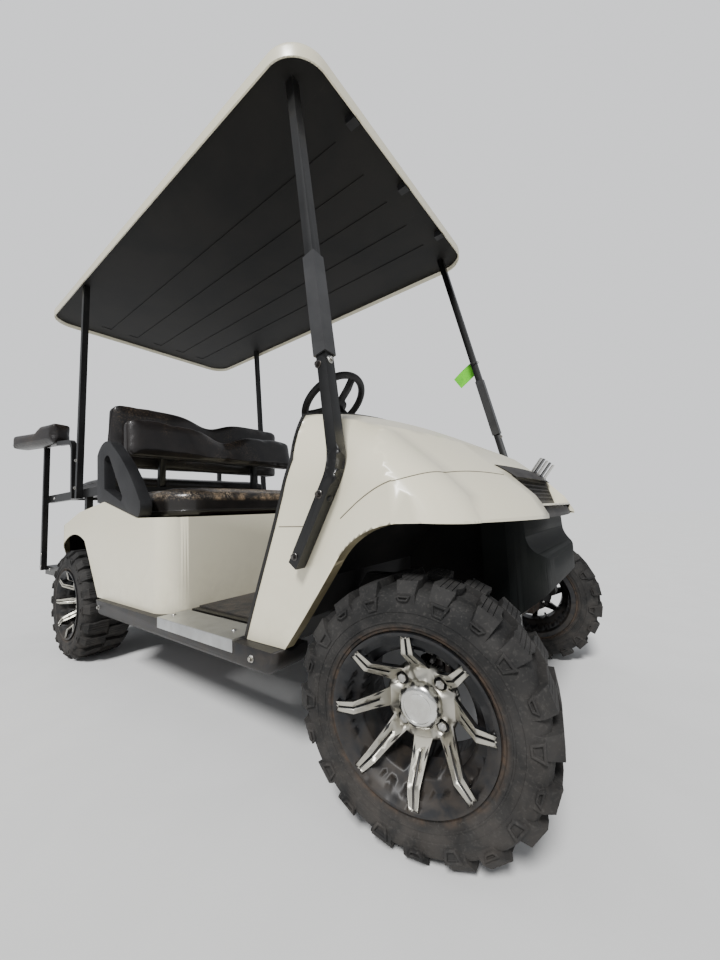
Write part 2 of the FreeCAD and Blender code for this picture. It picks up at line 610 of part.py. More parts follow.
ARCH_FOOT = -276.0
arch_profile = [
    (fx(ARCH_FOOT), 100), (fx(ARCH_FOOT), COWL_BOTTOM), (fx(-120), 473), (fx(-55), 531, "arc"),
    (fx(30), ARCH_TOP), (fx(80), ARCH_TOP), (fx(400), ARCH_TOP - 26), (fx(400), 100)]
under = side_plate(arch_profile, (-ACROSS, ACROSS)).fuse(
    block((fx(-600), fx(ARCH_FOOT + 1)), (-ACROSS, ACROSS), (100, COWL_BOTTOM)))

# Grille in the nose: a pocket with sloping mesh, a ledge under it, and a lower bar let into the lip
GRILLE_HALF_WIDTH = 205.0
GRILLE_TOP, GRILLE_BOTTOM = 650.0, 580.0
GRILLE_BACK_TOP, GRILLE_BACK_BOTTOM = 117.0, 140.0
BAR_HALF_WIDTH = 200.0
BAR_RECESS = 20.0
BAR_TOP = GRILLE_BOTTOM - COWL_WALL


def grille_pocket(grow):
    low, high = GRILLE_BOTTOM - grow, GRILLE_TOP + grow
    slope = side_plate([(fx(GRILLE_BACK_TOP) - grow, high), (fx(GRILLE_BACK_BOTTOM) - grow, low),
                        (fx(400), low), (fx(400), high)], (-ACROSS, ACROSS))
    top, bottom = GRILLE_HALF_WIDTH + 8 + grow, GRILLE_HALF_WIDTH - 8 + grow
    return slope.common(front_plate([(-bottom, low), (bottom, low), (top, high), (-top, high)],
                                    (fx(0), fx(400))))


def bar_recess(grow):
    wide = BAR_HALF_WIDTH + grow
    return block((fx(60), fx(400)), (-wide, wide), (ARCH_TOP - 60, BAR_TOP + grow)).cut(
        nose_solid(BAR_RECESS + grow))


# The skin turns in along the arches and the nose with a flat lip
LIP = 26.0
outer_solid = cowl_solid(0).common(nose_solid(0))
inner_solid = cowl_solid(COWL_WALL).common(nose_solid(COWL_WALL))
grown_arch = wire([(q[0], 0, q[1]) + tuple(q[2:]) for q in arch_profile]).makeOffset2D(COWL_WALL)
lip = Part.Face(grown_arch).extrude(Vector(0, 2 * ACROSS, 0)).translated(Vector(0, -ACROSS, 0))
lip = lip.common(outer_solid).cut(cowl_solid(LIP).common(nose_solid(LIP)))
skin = outer_solid.cut(inner_solid.cut([grille_pocket(COWL_WALL), bar_recess(COWL_WALL)]))
cowl = skin.fuse(lip).cut([grille_pocket(0), bar_recess(0), under, rear_edge(0)])
cowl = cowl.cut(block((fx(60), fx(180)), (-GRILLE_HALF_WIDTH + 25, GRILLE_HALF_WIDTH - 25),
                      (GRILLE_BOTTOM + 10, GRILLE_TOP - 8)))
save("front_cowl", cowl)
band = cowl_solid(-TRIM_PROUD).cut(cowl_solid(COWL_WALL + TRIM_PROUD)).cut(under)
save("cowl_trim", band.common(rear_edge(0).cut(rear_edge(-TRIM_WIDTH))))

# Dash: a bowed panel inside the cowl's rear edge, with a pocket each side and the column's hole
DASH_INSET = 14.0
DASH_THICKNESS = 6.0
DASH_BOTTOM = 520.0
POCKET = ((110.0, 400.0), (640.0, 740.0))
POCKET_DEPTH = 120.0
BIN_WALL = 4.0
DASH_JOINT = 0.4
inside_cowl = cowl_solid(COWL_WALL + RUNNING_GAP)


def dash_layer(start, end):
    return rear_edge(end).cut(rear_edge(start))


dash = inside_cowl.common(dash_layer(DASH_INSET, DASH_INSET + DASH_THICKNESS))
dash = dash.cut(block((fx(-600), fx(0)), (-ACROSS, ACROSS), (100, DASH_BOTTOM)))
(pocket_low, pocket_high), (pocket_bottom, pocket_top) = POCKET
pocket_front = fx(COWL_REAR_CENTRE + DASH_INSET) + POCKET_DEPTH
bins = []
for side in (RIGHT, LEFT):
    window = block((fx(-500), pocket_front), (side * pocket_low, side * pocket_high),
                   (pocket_bottom, pocket_top))
    outside_bin = block((fx(-500), pocket_front + BIN_WALL),
                        (side * (pocket_low - BIN_WALL), side * (pocket_high + BIN_WALL)),
                        (pocket_bottom - BIN_WALL, pocket_top + BIN_WALL))
    bins.append(outside_bin.cut(window).cut(rear_edge(DASH_INSET + DASH_THICKNESS + RUNNING_GAP)))
    dash = dash.cut(window)
column_top = STEERING_WHEEL_CENTRE
foot = (fx(COLUMN_FOOT[0]),) + COLUMN_FOOT[1:]
head = (fx(column_top[0]),) + column_top[1:]
dash = dash.cut(rod(foot, head, COLUMN_RADIUS + 2))
# The dash is an upper pad, a lower panel and three infills beside the pockets, with fine joints between
for joint_z in (pocket_top, pocket_bottom - DASH_JOINT):
    dash = dash.cut(block((fx(-600), fx(0)), (-ACROSS, ACROSS), (joint_z, joint_z + DASH_JOINT)))
save("dash_panel", Part.makeCompound(dash.Solids + bins))

# Nose panels: the bar over the grille, the mesh in its pocket and the bar in the lip
PANEL_PROUD = 4.0
TOP_BAR = [(-234.0, 677.0), (234.0, 677.0), (202.0, GRILLE_TOP - 4), (-202.0, GRILLE_TOP - 4)]
MESH_THICKNESS = 3.0
MESH_COLUMNS, MESH_ROWS = 25, 5
MESH_HOLE = (10.5, 8.0)
over_nose = nose_solid(-PANEL_PROUD).common(cowl_solid(-PANEL_PROUD)).cut(
    nose_solid(-RUNNING_GAP).common(cowl_solid(-RUNNING_GAP)))
top_bar = over_nose.common(front_plate(TOP_BAR, (fx(60), fx(300))))
low_bar = nose_solid(BAR_RECESS - RUNNING_GAP - 8).common(bar_recess(-RUNNING_GAP))
low_bar = low_bar.cut(nose_solid(BAR_RECESS - RUNNING_GAP)).cut(under)
mesh_back = nose_solid(0).common(grille_pocket(-RUNNING_GAP))
mesh = mesh_back.cut(mesh_back.translated(Vector(MESH_THICKNESS, 0, 0)))
MESH_EDGE = (15.0, 7.0)
pitch_y = 2 * (GRILLE_HALF_WIDTH - MESH_EDGE[0]) / MESH_COLUMNS
pitch_z = (GRILLE_TOP - GRILLE_BOTTOM - 2 * MESH_EDGE[1]) / MESH_ROWS
holes = []
for i in range(MESH_COLUMNS):
    for k in range(MESH_ROWS):
        y = (i + 0.5) * pitch_y - GRILLE_HALF_WIDTH + MESH_EDGE[0]
        z = GRILLE_BOTTOM + MESH_EDGE[1] + (k + 0.5) * pitch_z
        holes.append(block((fx(60), fx(200)), (y - MESH_HOLE[0] / 2, y + MESH_HOLE[0] / 2),
                           (z - MESH_HOLE[1] / 2, z + MESH_HOLE[1] / 2)))
save("nose_panels", Part.makeCompound([top_bar, low_bar, mesh.cut(holes)]))

# Apron below the nose, between the front wheels: a bulging shield that stands on the frame's tabs
APRON_HALF_WIDTH = 262.0
APRON_BOTTOM = 336.0
APRON_TOP = ARCH_TOP + 12
APRON_BACK = 55.0
APRON_OPEN = 124.0
APRON_WALL = 4.0
apron_profile = [(APRON_BACK, APRON_BOTTOM), (128, APRON_BOTTOM), (178, 374), (197, 426, "arc"), (172, 468),
                 (158, 486, "arc"), (152, 510), (148, APRON_TOP), (APRON_BACK, APRON_TOP)]
apron_front = max(point[0] for point in apron_profile)
apron_plan = [(APRON_BACK, -APRON_HALF_WIDTH), (apron_front - 82, -APRON_HALF_WIDTH),
              (apron_front - 32, -APRON_HALF_WIDTH + 30, "arc"), (apron_front - 10, -APRON_HALF_WIDTH + 92),
              (apron_front, 0, "arc")]
apron_plan += [(q[0], -q[1]) + tuple(q[2:]) for q in reversed(apron_plan[:-1])]


def apron_solid(inset):
    side = wire([(fx(q[0]), 0, q[1]) + tuple(q[2:]) for q in apron_profile])
    plan = wire([(fx(q[0]), q[1], APRON_BOTTOM) + tuple(q[2:]) for q in apron_plan])
    if inset:
        side, plan = side.makeOffset2D(-inset), plan.makeOffset2D(-inset)
    bulge = Part.Face(side).extrude(Vector(0, 2 * ACROSS, 0)).translated(Vector(0, -ACROSS, 0))
    return bulge.common(Part.Face(plan).extrude(Vector(0, 0, APRON_TOP - APRON_BOTTOM)))


apron = apron_solid(0).cut(apron_solid(APRON_WALL))
apron = apron.cut(block((fx(0), fx(APRON_BACK + APRON_WALL + 1)), (-ACROSS, ACROSS), (300, 600)))
inside_apron = APRON_HALF_WIDTH - APRON_WALL
for level in (APRON_BOTTOM, APRON_TOP):
    apron = apron.cut(block((fx(0), fx(APRON_OPEN)), (-inside_apron, inside_apron),
                            (level - APRON_WALL - 1, level + APRON_WALL + 1)))
save("front_apron", apron)
rail = rail.fuse(APRON_SEAT.common(apron_solid(APRON_WALL + RUNNING_GAP)))
save("frame_rails", both_sides(rail.removeSplitter()))

# Floor with its sloping toe board, the mat on it, rockers and the step plates on them
FLOOR_BACK = rx(BODY_FRONT + 2)
TOE_BREAK = fx(-404)
TOE_FRONT = fx(-275)
TOE_TOP = 515.0
low = FLOOR_TOP - FLOOR_SHEET
floor = side_plate([
    (FLOOR_BACK, low), (TOE_BREAK + 2, low), (TOE_FRONT + 3, TOE_TOP), (TOE_FRONT - 3, TOE_TOP),
    (TOE_BREAK - 1, FLOOR_TOP), (FLOOR_BACK, FLOOR_TOP)], (-FLOOR_HALF_WIDTH, FLOOR_HALF_WIDTH))
save("floor_pan", floor)
top = FLOOR_TOP + MAT_THICKNESS
mat = side_plate([(FLOOR_BACK, FLOOR_TOP), (TOE_BREAK - 1, FLOOR_TOP), (TOE_FRONT - 40, TOE_TOP - 60),
                  (TOE_FRONT - 44, TOE_TOP - 56), (TOE_BREAK - 3, top), (FLOOR_BACK, top)],
                 (-FLOOR_HALF_WIDTH + 25, FLOOR_HALF_WIDTH - 25))
mat = mat.cut(rod(foot, head, COLUMN_RADIUS + 2))
save("floor_mat", mat)

ROCKER_REAR, ROCKER_FRONT = rx(335), fx(-274)
ROCKER_ROUND = 14.0
bottom = ROCKER_TOP - ROCKER_HEIGHT
rocker = side_plate([
    (ROCKER_REAR, ROCKER_TOP), (ROCKER_REAR + 34, bottom), (ROCKER_FRONT - 45, bottom),
    (ROCKER_FRONT - 12, bottom + 16, "arc"), (ROCKER_FRONT, ROCKER_TOP)],
    (ROCKER_Y - ROCKER_WIDTH, ROCKER_Y))
long_edges = [e for e in rocker.Edges if e.BoundBox.XLength > 200 and e.BoundBox.YMax > ROCKER_Y - 1]
rocker = rocker.makeFillet(ROCKER_ROUND, [e for e in long_edges if e.BoundBox.ZMax < bottom + 5])
save("rocker_panels", both_sides(rocker))

STEP_WIDTH = 92.0
STEP_THICKNESS = 5.0
step = block((rx(BODY_FRONT + 3), fx(-425)), (ROCKER_Y - STEP_WIDTH, ROCKER_Y - 2),
             (ROCKER_TOP, ROCKER_TOP + STEP_THICKNESS))
step = step.cut(block((rx(BODY_FRONT - 50), fx(-300)), (0, FLOOR_HALF_WIDTH + 1), (200, 400)))
save("step_plates", both_sides(step))

# Steering column with its shaft's bore, and the wheel on it
axis = (Vector(*head) - Vector(*foot)).normalize()


def along_column(distance, base=head):
    return tuple(Vector(*base) + axis * distance)


column = rod(foot, along_column(-48), COLUMN_RADIUS).cut(
    rod(along_column(-120), along_column(-40), 9 + RUNNING_GAP))
column = column.cut(floor)
save("steering_column", column)

tilt = Rotation(Vector(0, 0, 1), axis)
ring = Part.makeTorus(STEERING_WHEEL_RADIUS, STEERING_RIM_RADIUS)
hub = Part.makeCylinder(46, 26, Vector(0, 0, -40))
shaft = Part.makeCylinder(9, 60, Vector(0, 0, -95))
spokes = []
for turn in (0, 130, 230):
    arm = side_plate([(20, -36), (STEERING_WHEEL_RADIUS - 60, -24), (STEERING_WHEEL_RADIUS, -6),
                      (STEERING_WHEEL_RADIUS, 6), (STEERING_WHEEL_RADIUS - 60, -12), (20, -20)], (-16, 16))
    arm.rotate(Vector(0, 0, 0), Vector(0, 0, 1), turn)
    spokes.append(arm)
steering = fuse([ring, hub, shaft] + spokes)
steering.Placement = Placement(Vector(*head), tilt)
save("steering_wheel", steering)

# Pedals: across, up the toe board, how far the pad stands off it, and the pad's width and length
PEDALS = [(160.0, 70.0, 55.0, 95.0, 60.0), (285.0, 40.0, 40.0, 55.0, 120.0)]
PEDAL_THICKNESS = 10.0
toe_rise = math.atan2(TOE_TOP - FLOOR_TOP, TOE_FRONT - TOE_BREAK)


def toe_point(up, off):
    return (TOE_BREAK - 3 + up * math.cos(toe_rise) - off * math.sin(toe_rise),
            top + up * math.sin(toe_rise) + off * math.cos(toe_rise))


pedals = []
for y, up, stand, wide, tall in PEDALS:
    pad = side_plate([toe_point(up, stand), toe_point(up + tall, stand),
                      toe_point(up + tall, stand + PEDAL_THICKNESS), toe_point(up, stand + PEDAL_THICKNESS)],
                     (y - wide / 2, y + wide / 2))
    middle = up + tall / 2
    stem = side_plate([toe_point(middle - 8, 3), toe_point(middle + 8, 3), toe_point(middle + 8, stand + 2),
                       toe_point(middle - 8, stand + 2)], (y - 7, y + 7))
    pedals.append(pad.fuse(stem).cut(mat))
save("pedals", Part.makeCompound(pedals))

# Rear body: hollow, open below, with the seat's recess and the wheel arches
body_plan = [
    (rx(BODY_REAR), -BODY_HALF_WIDTH + 100), (rx(BODY_REAR + 30), -BODY_HALF_WIDTH + 30, "arc"),
    (rx(BODY_REAR + 100), -BODY_HALF_WIDTH), (rx(BODY_FRONT - 75), -BODY_HALF_WIDTH),
    (rx(BODY_FRONT - 22), -BODY_HALF_WIDTH + 22, "arc"), (rx(BODY_FRONT), -BODY_HALF_WIDTH + 75)]
body_plan += [(p[0], -p[1]) + tuple(p[2:]) for p in reversed(body_plan)]
body_side = [
    (rx(BODY_FRONT + 40), SEAT_DECK), (rx(630), SEAT_DECK + 3), (rx(338), 654), (rx(60), 622),
    (rx(-120), 575), (rx(-205), 528, "arc"), (rx(BODY_REAR), 440), (rx(BODY_REAR), 396), (rx(-60), 396),
    (rx(60), BODY_BOTTOM), (rx(BODY_FRONT + 40), BODY_BOTTOM)]


def body_solid(inset):
    outline = wire([(p[0], p[1], BODY_BOTTOM - inset) + tuple(p[2:]) for p in body_plan])
    if inset:
        outline = outline.makeOffset2D(-inset)
    plan = Part.Face(outline).extrude(Vector(0, 0, 500))
    return plan.common(side_plate(body_side, (-ACROSS, ACROSS)).translated(Vector(0, 0, -inset)))


ARCH_ROOM = 37.0
arch = side_plate([
    (rx(287), BODY_BOTTOM - 20), (rx(287), BODY_BOTTOM), (rx(172), 445), (rx(130), 500),
    (rx(-28), 525, "arc"), (rx(-186), 455), (rx(-232), 380), (rx(-260), BODY_BOTTOM - 20)],
    (REAR_LIP_Y - TYRE_WIDTH - ARCH_ROOM, ACROSS))
RECESS_REAR = rx(SEAT_HINGE - 28)
recess_y = (-SEAT_HALF_WIDTH - SEAT_ROOM, SEAT_HALF_WIDTH + SEAT_ROOM)
recess = block((RECESS_REAR, rx(BODY_FRONT + 50)), recess_y, (SEAT_DECK, 800))
recess_floor = recess.translated(Vector(0, 0, -BODY_WALL))
(bay_rear, bay_front), (bay_right, bay_left), _ = BATTERY
battery_mouth = block((bay_rear - BATTERY_ROOM, bay_front + BATTERY_ROOM),
                      (bay_right - 5 * BATTERY_ROOM, bay_left + 5 * BATTERY_ROOM),
                      (SEAT_DECK - 80, SEAT_DECK + 80))
recess_wall = block((RECESS_REAR - BODY_WALL, RECESS_REAR), recess_y, (SEAT_DECK - BODY_WALL, 800))
body = body_solid(0).cut(body_solid(BODY_WALL).cut(
    recess_floor.common(body_solid(0)).fuse(recess_wall)))
body = body.cut(recess).cut(arch).cut(mirrored(arch)).cut(battery_mouth)
save("rear_body", body.removeSplitter())

# Main seat: the cushion on its board turns up about its rear edge
seat_plan = [
    (rx(SEAT_HINGE), -SEAT_HALF_WIDTH + 30), (rx(SEAT_HINGE + 9), -SEAT_HALF_WIDTH + 9, "arc"),
    (rx(SEAT_HINGE + 30), -SEAT_HALF_WIDTH), (rx(SEAT_FRONT - 120), -SEAT_HALF_WIDTH),
    (rx(SEAT_FRONT - 35), -SEAT_HALF_WIDTH + 35, "arc"), (rx(SEAT_FRONT), -SEAT_HALF_WIDTH + 120)]
seat_plan += [(p[0], -p[1]) + tuple(p[2:]) for p in reversed(seat_plan)]
SEAT_BOTTOM = SEAT_DECK + RUNNING_GAP
cushion = plan_plate(seat_plan, (SEAT_BOTTOM, SEAT_BOTTOM + SEAT_THICKNESS))
rim = [e for e in cushion.Edges if e.BoundBox.ZMin > SEAT_BOTTOM + SEAT_THICKNESS - 1]
save("seat_cushion", cushion.makeFillet(22, rim))

# Hip restraints beside the seat
HIP_OUTER = [(rx(257), 655), (rx(247), 845), (rx(272), 872, "arc"), (rx(410), 862), (rx(432), 848, "arc"),
             (rx(640), 650), (rx(650), 610, "arc"), (rx(632), 588), (rx(360), 640)]
HIP_INNER = [(rx(330), 705), (rx(322), 820), (rx(345), 835, "arc"), (rx(375), 825), (rx(500), 668),
             (rx(498), 655, "arc"), (rx(480), 652)]
HIP_START = SEAT_HALF_WIDTH + SEAT_ROOM + 1
HIP_Y = (HIP_START, HIP_START + HIP_THICKNESS)
hip = side_plate(HIP_OUTER, HIP_Y).cut(side_plate(HIP_INNER, (0, ACROSS))).cut(
    side_plate(body_side, (-ACROSS, ACROSS)))
save("hip_restraints", both_sides(hip))

# Front seat back and the taller rear-facing back, on two shared posts
BACK_BOTTOM, BACK_TOP = 855.0, 1030.0
REAR_BACK_BOTTOM, REAR_BACK_TOP = 815.0, 1130.0
POSTS_X, POSTS_Y = rx(132), 270.0
seat_back = side_plate([
    (rx(195), BACK_BOTTOM), (rx(280), BACK_BOTTOM), (rx(250), BACK_TOP), (rx(175), BACK_TOP)],
    (-BACK_HALF_WIDTH, BACK_HALF_WIDTH))
seat_back = seat_back.makeFillet(28, [e for e in seat_back.Edges if e.BoundBox.XLength > 10])
save("seat_back", seat_back)
rear_back = side_plate([
    (rx(28), REAR_BACK_BOTTOM), (rx(100), REAR_BACK_BOTTOM), (rx(115), REAR_BACK_TOP),
    (rx(50), REAR_BACK_TOP)],
    (-REAR_SEAT_HALF_WIDTH - 30, REAR_SEAT_HALF_WIDTH + 30))
rear_back = rear_back.makeFillet(28, [e for e in rear_back.Edges if e.BoundBox.XLength > 10])
save("rear_back", rear_back)

# Seat back frame: posts from the rear seat frame, with plates to both backs
BACK_POST = 28.0
BACK_POST_TOP = 1080.0
BACK_POST_LEAN = 15.0
CROSS_BARS_Z = (900.0, 990.0)
frame_pieces = []
for side in (RIGHT, LEFT):
    y = side * POSTS_Y
    frame_pieces.append(bar([(POSTS_X, y, SIDE_RAIL_TOP), (POSTS_X + BACK_POST_LEAN, y, BACK_POST_TOP)],
                            BACK_POST, BACK_POST))
for z in CROSS_BARS_Z:
    x = POSTS_X + BACK_POST_LEAN * (z - SIDE_RAIL_TOP) / (BACK_POST_TOP - SIDE_RAIL_TOP)
    frame_pieces.append(block((x - 10, x + 10), (-POSTS_Y - 60, POSTS_Y + 60), (z - 15, z + 15)))
frame = fuse(frame_pieces)
for z in CROSS_BARS_Z:
    for side in (RIGHT, LEFT):
        y = side * POSTS_Y
        frame = frame.fuse(block((rx(60), rx(250)), (y - 12, y + 12), (z - 12, z + 12)))
seat_back_frame = frame.cut(seat_back).cut(rear_back).removeSplitter()

# Rear seat frame: side rails, cross bars and feet on the body
rail_low = SIDE_RAIL_TOP - SIDE_RAIL_HEIGHT
rails = []
for side in (RIGHT, LEFT):
    y = side * SIDE_RAIL_Y
    rails.append(block((rx(SIDE_RAIL_REAR), rx(SIDE_RAIL_FRONT + 130)),
                       (y - SIDE_RAIL_WIDTH / 2, y + SIDE_RAIL_WIDTH / 2), (rail_low, SIDE_RAIL_TOP)))
    for x in (rx(SIDE_RAIL_FRONT + 90), rx(-70)):
        rails.append(block((x, x + 30), (y - SIDE_RAIL_WIDTH / 2, y + SIDE_RAIL_WIDTH / 2),
                           (560, SIDE_RAIL_TOP)))
for x in (POSTS_X - 20, rx(-70), rx(REAR_SEAT_HINGE + 25)):
    rails.append(block((x, x + 40), (-SIDE_RAIL_Y, SIDE_RAIL_Y), (rail_low, SIDE_RAIL_TOP)))
rear_frame = fuse(rails).cut(body_solid(0))
save("rear_seat_frame", rear_frame.removeSplitter())
save("seat_back_frame", seat_back_frame.cut(rear_frame))

# Rear seat cushion: turns over backwards about its rear edge to make a deck
hinge_x = rx(REAR_SEAT_HINGE)
rear_cushion = block((hinge_x, rx(REAR_SEAT_FRONT)), (-REAR_SEAT_HALF_WIDTH, REAR_SEAT_HALF_WIDTH),
                     (REAR_SEAT_BOTTOM, REAR_SEAT_BOTTOM + REAR_SEAT_THICKNESS))
rim = [e for e in rear_cushion.Edges if e.BoundBox.ZMin > REAR_SEAT_BOTTOM + 5]
rear_cushion = rear_cushion.makeFillet(20, rim)
save("rear_seat_cushion", rear_cushion)

# Posts from the foot platform to the arm pads, and the bent tubes in front of them
TUBE_SIDE = 22.0
TUBE_BEND = 55.0
posts = []
for side in (RIGHT, LEFT):
    y = side * POST_Y
    posts.append(bar([(rx(POST_X), y, PLATFORM_TOP - 20), (rx(POST_X), y, PAD_BOTTOM)],
                     POST_SIDE, POST_SIDE))
for side in (RIGHT, LEFT):
    y = side * (SIDE_RAIL_Y + (SIDE_RAIL_WIDTH + TUBE_SIDE) / 2 + RUNNING_GAP)
    posts.append(bar([(rx(-188), y, rail_low), (rx(-200), y, 975), (rx(-440), y, 1000)],
                     TUBE_SIDE, TUBE_SIDE, TUBE_BEND))

pads = []
for side in (RIGHT, LEFT):
    pad = side_plate([(-PAD_LENGTH / 2, 0), (PAD_LENGTH / 2, -8), (PAD_LENGTH / 2, PAD_HEIGHT + 30),
                      (PAD_LENGTH / 2 - 130, PAD_HEIGHT + 30), (PAD_LENGTH / 2 - 190, PAD_HEIGHT),
                      (-PAD_LENGTH / 2, PAD_HEIGHT)], (-PAD_WIDTH / 2, PAD_WIDTH / 2))
    pad = pad.makeFillet(PAD_ROUND, pad.Edges)
    pad.rotate(Vector(0, 0, 0), Vector(0, 0, 1), -side * PAD_SPLAY)
    pad.translate(Vector(rx(POST_X), side * (POST_Y + PAD_OUTSET), PAD_BOTTOM))
    pads.append(pad)
pads = Part.makeCompound(pads)
save("arm_pads", pads)
save("arm_posts", Part.makeCompound([post.cut(pads) for post in posts]))

# Foot platform with its side flanges, and the arms that carry it from the frame
DECK_THICKNESS = 6.0
platform_rear = rx(POST_X) - 25
deck = block((platform_rear, platform_rear + PLATFORM_DEPTH), (-POST_Y + 14, POST_Y - 14),
             (PLATFORM_TOP - DECK_THICKNESS, PLATFORM_TOP))
for side in (RIGHT, LEFT):
    y = side * (POST_Y - 14)
    deck = deck.fuse(block((platform_rear, platform_rear + PLATFORM_DEPTH), (y, y - side * 5),
                           (PLATFORM_TOP - 45, PLATFORM_TOP)))
save("foot_platform", deck.removeSplitter())
arms = []
for side in (RIGHT, LEFT):
    y = side * RAIL_Y
    arms.append(block((platform_rear + 20, rx(FRAME_REAR) + 120), (y - 16, y + 16),
                      (PLATFORM_TOP - 40, PLATFORM_TOP - DECK_THICKNESS)))
save("platform_arms", Part.makeCompound(arms).cut(rear_frame).cut(both_sides(rail)))

# Roof: a shallow tray with a crowned top, and the dark liner under it
CORNER_CUT = (1 - math.sqrt(0.5)) * ROOF_CORNER
roof_plan = [
    (rx(ROOF_REAR), -ROOF_HALF_WIDTH + ROOF_CORNER),
    (rx(ROOF_REAR) + CORNER_CUT, -ROOF_HALF_WIDTH + CORNER_CUT, "arc"),
    (rx(ROOF_REAR) + ROOF_CORNER, -ROOF_HALF_WIDTH), (fx(ROOF_FRONT) - ROOF_CORNER, -ROOF_HALF_WIDTH),
    (fx(ROOF_FRONT) - CORNER_CUT, -ROOF_HALF_WIDTH + CORNER_CUT, "arc"),
    (fx(ROOF_FRONT), -ROOF_HALF_WIDTH + ROOF_CORNER)]
roof_plan += [(p[0], -p[1]) + tuple(p[2:]) for p in reversed(roof_plan)]
roof = plan_plate(roof_plan, (ROOF_BOTTOM, ROOF_BOTTOM + ROOF_HEIGHT))
top_edges = [e for e in roof.Edges if e.BoundBox.ZMin > ROOF_BOTTOM + ROOF_HEIGHT - 1]
roof = roof.makeFillet(30, top_edges)
ROOF_DEPTH = 22.0
LINER_RISE = 18.0
LINER_THICKNESS = 6.0
LINER_GROOVES = (-300.0, -150.0, 0.0, 150.0, 300.0)
GROOVE_HALF_WIDTH = 25.0
liner_z = ROOF_BOTTOM + LINER_RISE


def roof_layer(inset, z, height):
    outline = wire([(p[0], p[1], z) + tuple(p[2:]) for p in roof_plan]).makeOffset2D(-inset)
    return Part.Face(outline).extrude(Vector(0, 0, height))


save("roof", roof.cut(roof_layer(ROOF_WALL, ROOF_BOTTOM, ROOF_HEIGHT - ROOF_DEPTH)))
liner = roof_layer(ROOF_WALL + RUNNING_GAP, liner_z, LINER_THICKNESS)
groove_run = (rx(ROOF_REAR) + ROOF_CORNER, fx(ROOF_FRONT) - ROOF_CORNER)
for y in LINER_GROOVES:
    liner = liner.cut(block(groove_run, (y - GROOVE_HALF_WIDTH, y + GROOVE_HALF_WIDTH),
                            (liner_z - 1, liner_z + 2)))
save("roof_liner", liner)

# Front struts: leg on the cowl's side, bend, then a long tube to the roof inside a thick sleeve
STRUT_FOOT = (-213.0, 474.0)
STRUT_BEND = (-83.0, 668.0)
STRUT_HEAD = -312.0
STRUT_HEAD_INSET = 80.0
STRUT_BEND_RADIUS = 90.0
STRUT_GAP = 1.6
strut_top = liner_z


def cowl_side(distance):
    """Half width of the cowl's side, straight between its stations."""
    for (start, low, *_), (end, high, *_) in zip(COWL_STATIONS, COWL_STATIONS[1:]):
        if start <= distance <= end:
            return low + (high - low) * (distance - start) / (end - start)


strut_off = STRUT_SIDE / 2 + STRUT_GAP
foot_point = (fx(STRUT_FOOT[0]), -cowl_side(STRUT_FOOT[0]) - strut_off, STRUT_FOOT[1])
bend_point = (fx(STRUT_BEND[0]), -cowl_side(STRUT_BEND[0]) - strut_off, STRUT_BEND[1])
head_point = (fx(STRUT_HEAD), -ROOF_HALF_WIDTH + STRUT_HEAD_INSET, strut_top + STRUT_SIDE)
strut = bar([head_point, bend_point, foot_point], STRUT_SIDE, STRUT_SIDE, STRUT_BEND_RADIUS)
above_roof = block((rx(ROOF_REAR), fx(ROOF_FRONT)), (-ACROSS, ACROSS),
                   (strut_top, strut_top + 4 * STRUT_SIDE))
strut = strut.cut(above_roof)
save("front_struts", both_sides(strut))


def on_strut(z):
    share = (z - bend_point[2]) / (head_point[2] - bend_point[2])
    return tuple(b + (h - b) * share for b, h in zip(bend_point, head_point))


SLEEVE_ENDS = (900.0, 1155.0)
ends = [on_strut(z) for z in SLEEVE_ENDS]
sleeve_side, sleeve_bore = STRUT_SIDE + 2 * SLEEVE_WALL, STRUT_SIDE + 2 * RUNNING_GAP
sleeve = bar(ends, sleeve_side, sleeve_side).cut(
    bar([on_strut(SLEEVE_ENDS[0] - 50), on_strut(SLEEVE_ENDS[1] + 50)], sleeve_bore, sleeve_bore))
save("strut_sleeves", both_sides(sleeve))
rear_strut_y = SIDE_RAIL_Y + (SIDE_RAIL_WIDTH + STRUT_SIDE) / 2 + RUNNING_GAP
rear_strut = bar([(rx(-105), -rear_strut_y - 1, rail_low - 5), (rx(-137), -rear_strut_y + 20, strut_top + 1)],
                 STRUT_SIDE, STRUT_SIDE)
save("rear_struts", both_sides(rear_strut.cut(above_roof)))

# Windscreen clips under the roof's front edge
clips = []
for y in (-300.0, 0.0, 300.0):
    clip = block((fx(ROOF_FRONT) - 40, fx(ROOF_FRONT) - ROOF_WALL - 1), (y - 14, y + 14),
                 (ROOF_BOTTOM - 4, ROOF_BOTTOM + LINER_RISE))
    clips.append(clip)
save("roof_clips", Part.makeCompound(clips))
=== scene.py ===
import json
import math

import bpy
from mathutils import Matrix, Vector
from mathutils.bvhtree import BVHTree


